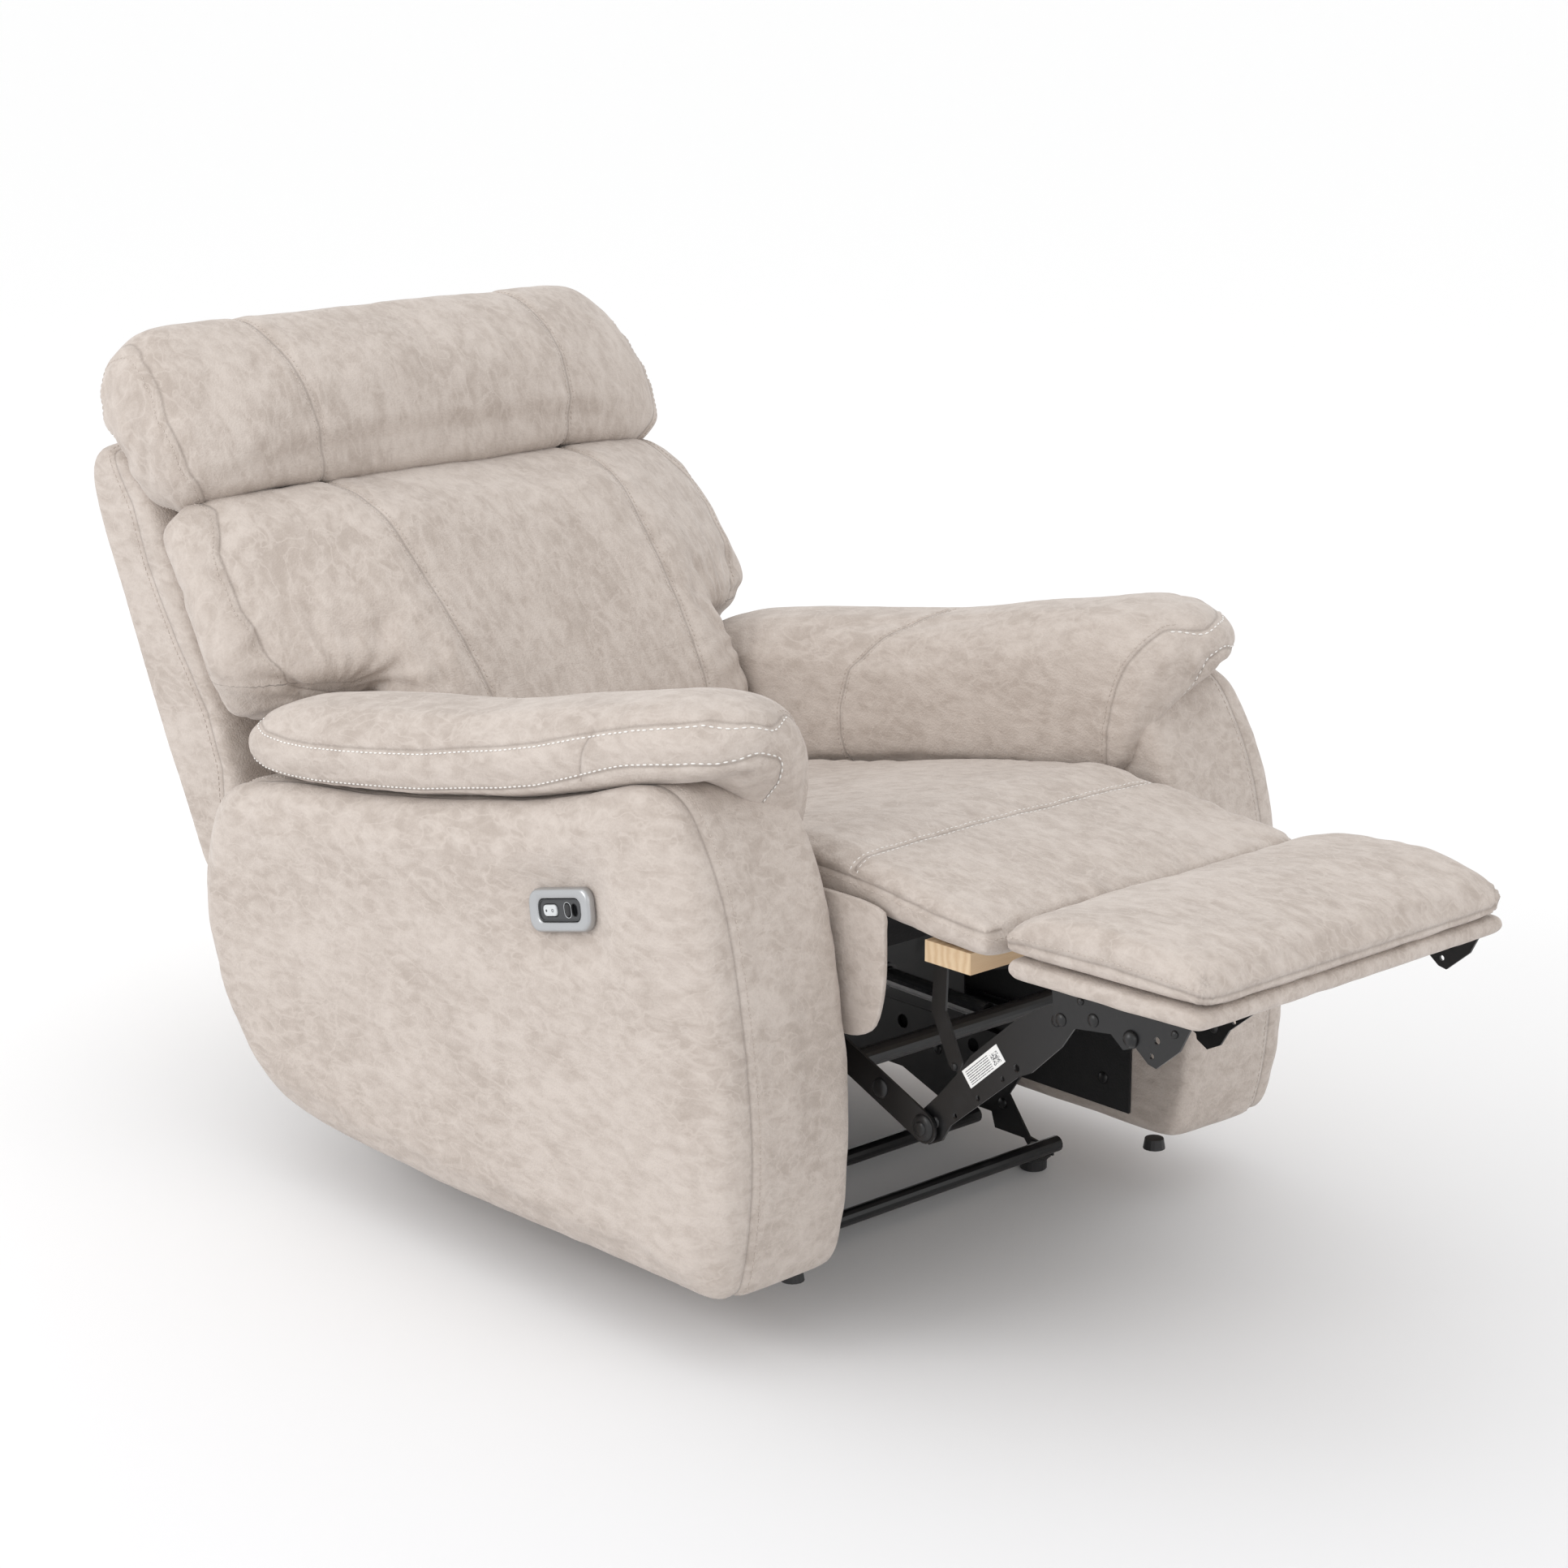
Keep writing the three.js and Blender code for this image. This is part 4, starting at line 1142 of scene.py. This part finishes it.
def dress_shell(shell):
    refine(shell)
    v = verts_of(shell)
    edge = distance_to(v, SHELL_SEAM) - 13
    side = np.abs(v[:, 0]) > 335
    rim = np.abs(v[:, 0]) - 338
    rear = edge > 30
    waves = cloud(v * (0.8, 1, 1), 120, 2.0) * 2.2 + cloud(v, 44, 6.0) * 0.6
    push(shell, waves - 2.2 * bell(edge, 7) * side - 2.0 * bell(rim, 6) * rear)
    v = verts_of(shell)
    edge = distance_to(v, SHELL_SEAM) - 13
    rim = np.abs(v[:, 0]) - 338
    mark_seams(shell, np.where(side, edge, NO_SEAM), np.where(rear & (v[:, 2] > 320), rim, NO_SEAM))
    rows = contours(shell, edge, 7.5, side)
    quiet = stitches("shell_stitches", rows, THREAD_TONE, *FINE_STITCH)
    settle(shell, "back", "leather", "back_shell", finish=HIDE_ARM, soft=0.9)
    settle(quiet, "back", "leather")


# ---- seat, bridge and leg rest ----
SEAT_OUTLINE = [
    (-192, 449), (-196, 463), (-190, 476), (-150, 484), (-90, 493), (-40, 501), (6, 508), (60, 513), (110, 511),
    (180, 498), (256, 485), (400, 453), (572, 421), (676, 402), (696, 384), (684, 364), (560, 368), (300, 394),
    (150, 414), (96, 440), (50, 458), (-12, 462), (-70, 457), (-130, 450),
]
REST_OUTLINE = [
    (-459, 461), (-465, 470), (-461, 482), (-440, 495), (-400, 503), (-355, 507), (-300, 506), (-250, 500),
    (-218, 490), (-203, 478), (-203, 466), (-212, 460), (-330, 459),
]
RIM_OUTLINE = [
    (-450, 438), (-460, 444), (-461, 452), (-454, 458), (-330, 458.5), (-222, 458), (-215, 451), (-217, 443),
    (-226, 438), (-330, 437.5),
]


def seat_body():
    layers = [(238, 13), (237.5, 8), (234, 4), (226, 1.5), (210, 0), (120, 0)]
    shaped = []
    for ring in across(smooth_loop(SEAT_OUTLINE, 190), layers):
        p = np.array(ring)
        p[:, 0] *= np.interp(p[:, 1], [-200, -60, 20, 700], [1.028, 1.012, 1.0, 1.0])
        shaped.append(p)
    return new_object("seat_cover", *loft(shaped))


def tapered(ring):
    return [(x * np.interp(y, [-466, -200], [0.952, 1.0]), y, z) for x, y, z in ring]


def rest_body():
    layers = [(245, 15), (243.5, 9), (238, 4.5), (226, 1.5), (205, 0), (100, 0)]
    rings = across(smooth_loop(REST_OUTLINE, 120), layers)
    return new_object("leg_rest_cover", *loft([tapered(r) for r in rings]))


def rim_body():
    rings = across(smooth_loop(RIM_OUTLINE, 90), [(245, 6), (244, 3), (240, 0.8), (232, 0), (120, 0)])
    return new_object("leg_rest_rim", *loft([tapered(r) for r in rings]))


def seat_seam(v):
    """Distance behind the seam across the seat's front edge."""
    return v[:, 1] - 6 - 3 * np.cos(v[:, 0] / 240 * np.pi / 2)


def seat_side_seam(v):
    places = [-197, -116, -35, 18, 110, 260, 420, 700]
    return v[:, 2] - np.interp(v[:, 1], places, [474, 479, 488, 491, 494, 466, 434, 386])


def dress_seat(seat):
    refine(seat)
    v, n = verts_of(seat), normals_of(seat)
    top = n[:, 2] > 0.3
    lateral = seat_seam(v)
    rear = v[:, 1] - 118
    side = seat_side_seam(v)
    edge = np.abs(v[:, 0]) > 214
    ripple = np.sin(v[:, 0] / 6.0 + cloud(v, 55, 2.0) * 3) * bell(lateral - 12, 13) * top * 0.7
    ripple += np.sin(v[:, 1] / 6.5 + cloud(v, 40, 8.0) * 3) * bell(side - 10, 10) * edge * 0.7
    crease = np.sin(v[:, 0] / 15.0 + cloud(v, 70, 5.0) * 4) * bell(v[:, 1] + 182, 26) * top * 1.3
    crown = 9 * np.clip(1 - (v[:, 0] / 236) ** 2, 0, 1) * bell(v[:, 1] + 95, 70) * top
    waves = (cloud(v * (0.7, 1.2, 1), 80, 4.0) * 2.4 + cloud(v * (0.8, 1.5, 1), 32, 1.5) * 0.8) * top
    low = -3.0 * bell(lateral, 8) * top - 2.4 * bell(side, 6) * edge - 2.4 * bell(rear, 14) * top
    push(seat, waves + ripple + crease + crown + low)
    v = verts_of(seat)
    lateral, side = seat_seam(v), seat_side_seam(v)
    mark_seams(seat, np.where(top, lateral, NO_SEAM), np.where(edge & (n[:, 2] < 0.75), side, NO_SEAM))
    rows = contours(seat, lateral, -5.0, top) + contours(seat, lateral, 5.0, top)
    pale = stitches("seat_stitches", rows, THREAD_PALE, 6.8, 5.0, 1.1)
    rows = contours(seat, side, -6.0, edge & (n[:, 2] < 0.6) & (v[:, 1] < 240))
    quiet = stitches("seat_side_stitches", rows, THREAD_TONE, 6.6, 4.6, 1.0)
    settle(seat, None, "leather", "seat_cushion", "bridge_pad", finish=HIDE_SEAT, soft=0.7)
    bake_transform(seat)
    settle(pale, "seat", "leather")
    settle(quiet, None, "leather")
    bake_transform(quiet)


def rest_seam(v):
    line = np.interp(v[:, 1], [-466, -440, -350, -240, -200], [470, 474, 478, 476, 471])
    return v[:, 2] - line


def dress_rest(rest, rim):
    refine(rest)
    v, n = verts_of(rest), normals_of(rest)
    seam = rest_seam(v)
    top = n[:, 2] > 0.3
    corner = np.hypot(np.abs(v[:, 0]) - 232, v[:, 1] + 462)
    ripple = np.sin((v[:, 0] + v[:, 1]) / 7.0 + cloud(v, 50, 2.0) * 3) * bell(seam - 11, 10) * 0.8
    tuck = np.sin(np.arctan2(v[:, 1] + 452, np.abs(v[:, 0]) - 222) * 9) * bell(corner - 14, 16) * 0.9
    waves = (cloud(v * (0.8, 1.1, 1), 75, 7.0) * 2.4 + cloud(v * (0.9, 1.4, 1), 30, 3.5) * 0.8) * top
    push(rest, waves + ripple + tuck - 2.8 * bell(seam, 5.5))
    v = verts_of(rest)
    seam = rest_seam(v)
    sides = (np.abs(v[:, 0]) > 205) & (n[:, 2] < 0.8)
    front = v[:, 1] < -440
    mark_seams(rest, np.where(sides | front, seam, NO_SEAM))
    rows = contours(rest, seam, 6.5, sides & (v[:, 1] > -452))
    quiet = stitches("leg_rest_stitches", rows, THREAD_TONE, *FINE_STITCH)
    settle(rest, "leg_rest", "leather", "leg_rest_pad", finish=HIDE_SEAT, soft=0.8)
    settle(quiet, "leg_rest", "leather")
    refine(rim)
    v = verts_of(rim)
    push(rim, cloud(v, 40, 2.0) * 0.8 + cloud(v, 18, 3.0) * 0.25)
    mark_seams(rim)
    settle(rim, "leg_rest", "leather", "leg_rest_board", finish=HIDE_SEAT, soft=0.95)


PANEL_OUTLINE = [
    (-55, 470), (-57, 452), (-57, 400), (-51, 365), (-40, 342), (-16, 330), (12, 328), (300, 328), (636, 328),
    (686, 340), (698, 360), (680, 371), (525, 389), (385, 415), (245, 443), (125, 468), (60, 475), (-20, 476),
]


def make_side_panels():
    """Leather-wrapped boards on each side under the seat's front."""
    outline = smooth_loop(PANEL_OUTLINE, 170)
    layers = [(253.4, 2.2), (253.0, 0.9), (251.8, 0.1), (250, 0), (248.4, 0.1), (247.2, 0.9),
              (246.9, 2.2)]
    for side, sign in (("right", -1), ("left", 1)):
        rings = [[(x * sign, y, z) for y, z in drawn_in(outline, d)] for x, d in layers]
        panel = new_object("seat_panel_cover_" + side, *loft(rings))
        mark_seams(panel)
        settle(panel, "seat", "leather", "seat_side_panel_" + side, finish=HIDE_SEAT, soft=0.95)


# ---- control panel ----
def on_control(u, w, x):
    """A point on the panel: u towards its rear, w up, x across the chair."""
    c, s = math.cos(CONTROL["tilt"]), math.sin(CONTROL["tilt"])
    return (x, CONTROL["y"] + u * c - w * s, CONTROL["z"] + u * s + w * c)


def rounded(length, height, radius, lean=0.0, steps=9):
    """Corner points of a rounded box, leaning forwards by a share of its height."""
    points = []
    corners = ((1, 1), (-1, 1), (-1, -1), (1, -1))
    for k, (a, b) in enumerate(corners):
        for i in range(steps):
            turn = math.pi / 2 * (k + i / (steps - 1))
            u = a * (length / 2 - radius) + math.cos(turn) * radius
            w = b * (height / 2 - radius) + math.sin(turn) * radius
            points.append((u - w * lean, w))
    return points


def control_ring(length, height, radius, x, u=0.0, w=0.0, lean=0.0):
    return [on_control(p + u, q + w, x) for p, q in rounded(length, height, radius, lean)]


def hoop(name, rings):
    """A closed frame whose last ring joins its first."""
    points, faces = loft(rings)
    count = len(rings[0])
    faces = faces[:-2]
    last = (len(rings) - 1) * count
    for i in range(count):
        j = (i + 1) % count
        faces.append((last + i, last + j, j, i))
    return new_object(name, points, faces)


def make_control():
    lean = 0.1
    bezel = hoop("control_frame", [
        control_ring(102, 47, 15, -433, lean=lean), control_ring(102, 47, 15, -439.5, lean=lean),
        control_ring(101, 46, 15, -442.4, lean=lean), control_ring(98.4, 43.4, 14, -444.6, lean=lean),
        control_ring(94, 39.5, 12.5, -445.8, lean=lean), control_ring(80, 31, 10.5, -445.2, lean=lean),
        control_ring(72.8, 26.4, 9.8, -444.4, lean=lean), control_ring(71, 24.8, 9.2, -443.2, lean=lean),
        control_ring(70.8, 24.6, 9, -440, lean=lean), control_ring(70.8, 24.6, 9, -433, lean=lean),
    ])
    settle(refine(bezel), "base", "silver", "control_bezel", finish=SILVER)
    lip = hoop("control_lip", [
        control_ring(70.4, 24.2, 9, -442.2, lean=lean), control_ring(69.6, 23.4, 8.7, -443.2, lean=lean),
        control_ring(67.6, 21.6, 8, -443.4, lean=lean), control_ring(66, 20.2, 7.4, -442.5, lean=lean),
    ])
    settle(refine(lip), "base", "plastic_black", finish=CHARCOAL)
    rocker = new_object("rocker_cap", *loft([
        control_ring(22.4, 12.4, 4.6, -440, 15), control_ring(22.4, 12.4, 4.6, -443.2, 15),
        control_ring(21.4, 11.4, 4.4, -444.1, 15), control_ring(18, 8.4, 3.6, -444.5, 15),
        control_ring(8, 2.4, 1, -444.35, 15),
    ]))
    settle(refine(rocker), "rocker", "grey_plastic", "rocker_switch", finish=GREY)
    marks = rivets("rocker_mark_dot", [on_control(20.5, 0, -444.3)], -1, CHARCOAL, 1.5, 0.35)
    settle(marks, "rocker", "plastic_black")
    ring = small_ring("rocker_mark_ring", 10, 0, -444.4, 1.5, 0.32)
    settle(ring, "rocker", "plastic_black", finish=CHARCOAL)
    button = new_object("memory_cap", *loft([
        control_ring(8.8, 13.8, 4.3, -440, -13), control_ring(8.8, 13.8, 4.3, -442.9, -13),
        control_ring(7.6, 12.6, 3.7, -443.7, -13), control_ring(3, 6, 1.4, -443.9, -13),
    ]))
    settle(refine(button), "button", "plastic_black", "memory_button", finish=BLACK_PLASTIC)
    rim = hoop("memory_rim", [
        control_ring(10.2, 15.2, 5, -442.2, -13), control_ring(11.2, 16.2, 5.4, -443.2, -13),
        control_ring(12.6, 17.6, 6, -442.3, -13),
    ])
    settle(refine(rim), "base", "grey_plastic", finish=GREY)
    port = hoop("charging_port", [
        control_ring(8.4, 12.4, 4.1, -438, -24), control_ring(8.6, 12.6, 4.2, -442.4, -24),
        control_ring(9.6, 13.6, 4.7, -443.1, -24), control_ring(11, 15, 5.3, -442.3, -24),
    ])
    settle(refine(port), "base", "plastic_black", finish=BLACK_PLASTIC)


def small_ring(name, u, w, x, radius, thick, sides=20):
    rings = []
    for i in range(sides):
        turn = 2 * math.pi * i / sides
        ring = []
        for k in range(8):
            roll = 2 * math.pi * k / 8
            reach = radius + math.cos(roll) * thick
            across_u, across_w = math.cos(turn) * reach, math.sin(turn) * reach
            ring.append(on_control(u + across_u, w + across_w, x + math.sin(roll) * thick))
        rings.append(ring)
    return hoop(name, rings)


# ---- linkage steel ----
KNEE = (-88, 243)
BRACKET = (-275, 406)
DRIVE = (120, 330)


def heads(name, body, spots, faces, radius, height):
    """Round heads on both linkages, on the given plate faces (half widths)."""
    bodies = body if isinstance(body, tuple) else (body, body)
    for side, sign, rides in (("right", -1, bodies[0]), ("left", 1, bodies[1])):
        places = [(sign * x, y, z) for x in faces for y, z in spots]
        piece = rivets(name + "_" + side, places, -1, STEEL, radius, height)
        settle(piece, rides, "steel_black")


def make_rivets():
    second = tuple(DRIVE[i] + (KNEE[i] - DRIVE[i]) * 0.7 for i in (0, 1))
    links = ("long_link_right", "long_link_left")
    for row in (
        ("knee_hub", "drive", [KNEE], (225,), 14.5, 4.5),
        ("knee_rivet", "drive", [KNEE], (229,), 7.5, 2.6),
        ("crank_hub", "drive", [second], (225,), 11, 4.5),
        ("bracket_rivet", "leg_rest", [BRACKET, (-317, 416)], (225, 222), 7.0, 3.2),
        ("bracket_bush", "leg_rest", [(-366, 410)], (225, 222), 9.0, 7.0),
        ("board_screw", "leg_rest", [(-300, 431), (-420, 428)], (225,), 4.2, 2.6),
        ("link_rivet", links, [(-262, 400), (-98, 250)], (217.5, 214.5), 6.2, 3.0),
        ("strap_screw", "bridge", [(-95, 416), (-116, 312)], (209, 206), 4.4, 2.4),
        ("seat_rivet", "seat", [DRIVE, (180, 300), (330, 240), (560, 240)], (232,), 8, 3.4),
        ("base_rivet", "base", [(250, 60), (360, 100), (500, 110), (640, 60)], (246,), 7, 3),
        ("board_bolt", "base", [(100, 130), (130, 420), (620, 130)], (256.2,), 7, 3),
    ):
        heads(*row)


def turned(name, x, y, sides, profile):
    """An upright solid on a centre line; its profile lists (height, radius) from the bottom."""
    turns = [2 * math.pi * i / sides for i in range(sides)]
    rings = [[(x + math.cos(t) * r, y + math.sin(t) * r, z) for t in turns] for z, r in profile]
    return new_object(name, *loft(rings))


def hexagon(name, x, y, z0, z1, across_flats):
    reach = across_flats / math.sqrt(3)
    return turned(name, x, y, 6, ((z0, reach), (z1 - 1, reach), (z1, reach * 0.9)))


def washer(name, x, y, z0, z1, radius):
    return turned(name, x, y, 32, ((z0, radius), (z1 - 0.5, radius), (z1, radius - 0.6)))


def make_foot_fixings():
    """A steel tab, washer and hex nut over each foot, and the tubes' flattened ends."""
    for side, sign in (("right", -1), ("left", 1)):
        for place, y in (("front", 186), ("rear", 690)):
            x = sign * 233
            outline = [(-14, -15), (12, -15), (16, -8), (16, 8), (12, 15), (-14, 15)]
            ring = smooth_loop(outline, 40)
            tab = new_object(f"foot_tab_{place}_{side}", *loft([
                [(x - sign * u, y + w, z) for u, w in ring] for z in (15.3, 18.3)
            ]))
            nut = hexagon("nut", x, y, 19.6, 27.5, 17)
            ringed = washer("washer", x, y, 18.3, 19.6, 12)
            stud = washer("stud", x, y, 27.5, 31.5, 4.4)
            whole = joined(f"foot_nut_{place}_{side}", nut, ringed, stud)
            settle(tab, "base", "steel_black", finish=STEEL)
            settle(whole, "base", "steel_black", finish=STEEL)
            whole.data.shade_flat()
            tab.data.shade_flat()


def printed_label():
    """A white label with rows of plain dashes and a block of squares, and no lettering."""
    look = Look("label_paper")
    where = look.node("ShaderNodeTexCoord", output=3)
    split = look.node("ShaderNodeSeparateXYZ", {}, {0: where})
    y = split.sibling(1) * 1000.0
    z = split.sibling(2) * 1000.0
    heading = math.atan2(BRACKET[1] - KNEE[1], BRACKET[0] - KNEE[0])
    c, s = math.cos(heading), math.sin(heading)
    y, z = y - (-165.5 - ORIGIN_Y), z - 327.8
    u, w = y * c + z * s, z * c - y * s
    count = w * 0.42 + 50.0
    row = count.maths("FRACT", count)
    words = look.node("ShaderNodeCombineXYZ", {}, {0: u * 0.9, 1: count.maths("FLOOR", count), 2: 0.0})
    dashes = look.noise(words, 1.0, 1.0) > 0.42
    lines = (row < 0.42) * dashes * (u > -27.0) * (u < 12.0) * (abs(w) < 8.0)
    cell = look.node("ShaderNodeVectorMath", {"operation": "FLOOR"}, {
        0: look.node("ShaderNodeCombineXYZ", {}, {0: u * 1.1 + 80.0, 1: w * 1.1 + 80.0, 2: 0.0}),
    })
    squares = look.node("ShaderNodeTexWhiteNoise", {}, {0: cell}, output=0) > 0.5
    code = squares * (u > 15.0) * (u < 27.0) * (abs(w - 1.0) < 6.0)
    fibres = look.noise(look.place(), 500.0, 2.0)
    paper = look.mixed(fibres, (0.78, 0.78, 0.77, 1), (0.86, 0.86, 0.85, 1))
    colour = look.mixed(lines.most(code), paper, (0.12, 0.12, 0.13, 1))
    look.finish({"Base Color": colour, "Roughness": 0.55 + fibres * 0.1})
    return look.material


def dress_nodes():
    """Finishes for the solids that are shown as they are."""
    looks = {"steel_black": STEEL, "plastic_black": BLACK_PLASTIC, "lining_black": LINING, "pine": PINE,
             "silver": SILVER, "grey_plastic": GREY}
    given = {p["node"]: p["material_slot"] for p in frame["record"]["subparts"]}
    special = {"link_label": printed_label(), "actuator_rod": ROD_STEEL, "control_inset": CHARCOAL,
               "seat_front_rail": LINING, "seat_rear_rail": LINING}
    for name, node in frame["nodes"].items():
        chosen = special.get(name) or looks.get(given[name])
        if chosen is not None:
            node.data.materials.clear()
            node.data.materials.append(chosen)


# ---- the whole chair ----
make_camera()
make_studio()
arm_cover, arm_pad = make_arms()
head_cover = stuff(skinned(head_body(), 6.0, 5), 9, 3.5)
back_cover = stuff(skinned(back_body(), 6.5, 7), 9, 3.5)
seat_cover = stuff(skinned(seat_body(), 6.0, 4), 4, 2.5)
rest_cover = stuff(skinned(rest_body(), 5.0, 4), 5, 3.0)
shell_cover = skinned(shell_body(), 8.0, 5)
rest_rim = skinned(rim_body(), 4.0, 3)
swell_all()
dress_arms(arm_cover, arm_pad)
dress_head(head_cover)
dress_back(back_cover)
dress_shell(shell_cover)
dress_seat(seat_cover)
dress_rest(rest_cover, rest_rim)
make_side_panels()
make_control()
make_rivets()
make_foot_fixings()
dress_nodes()
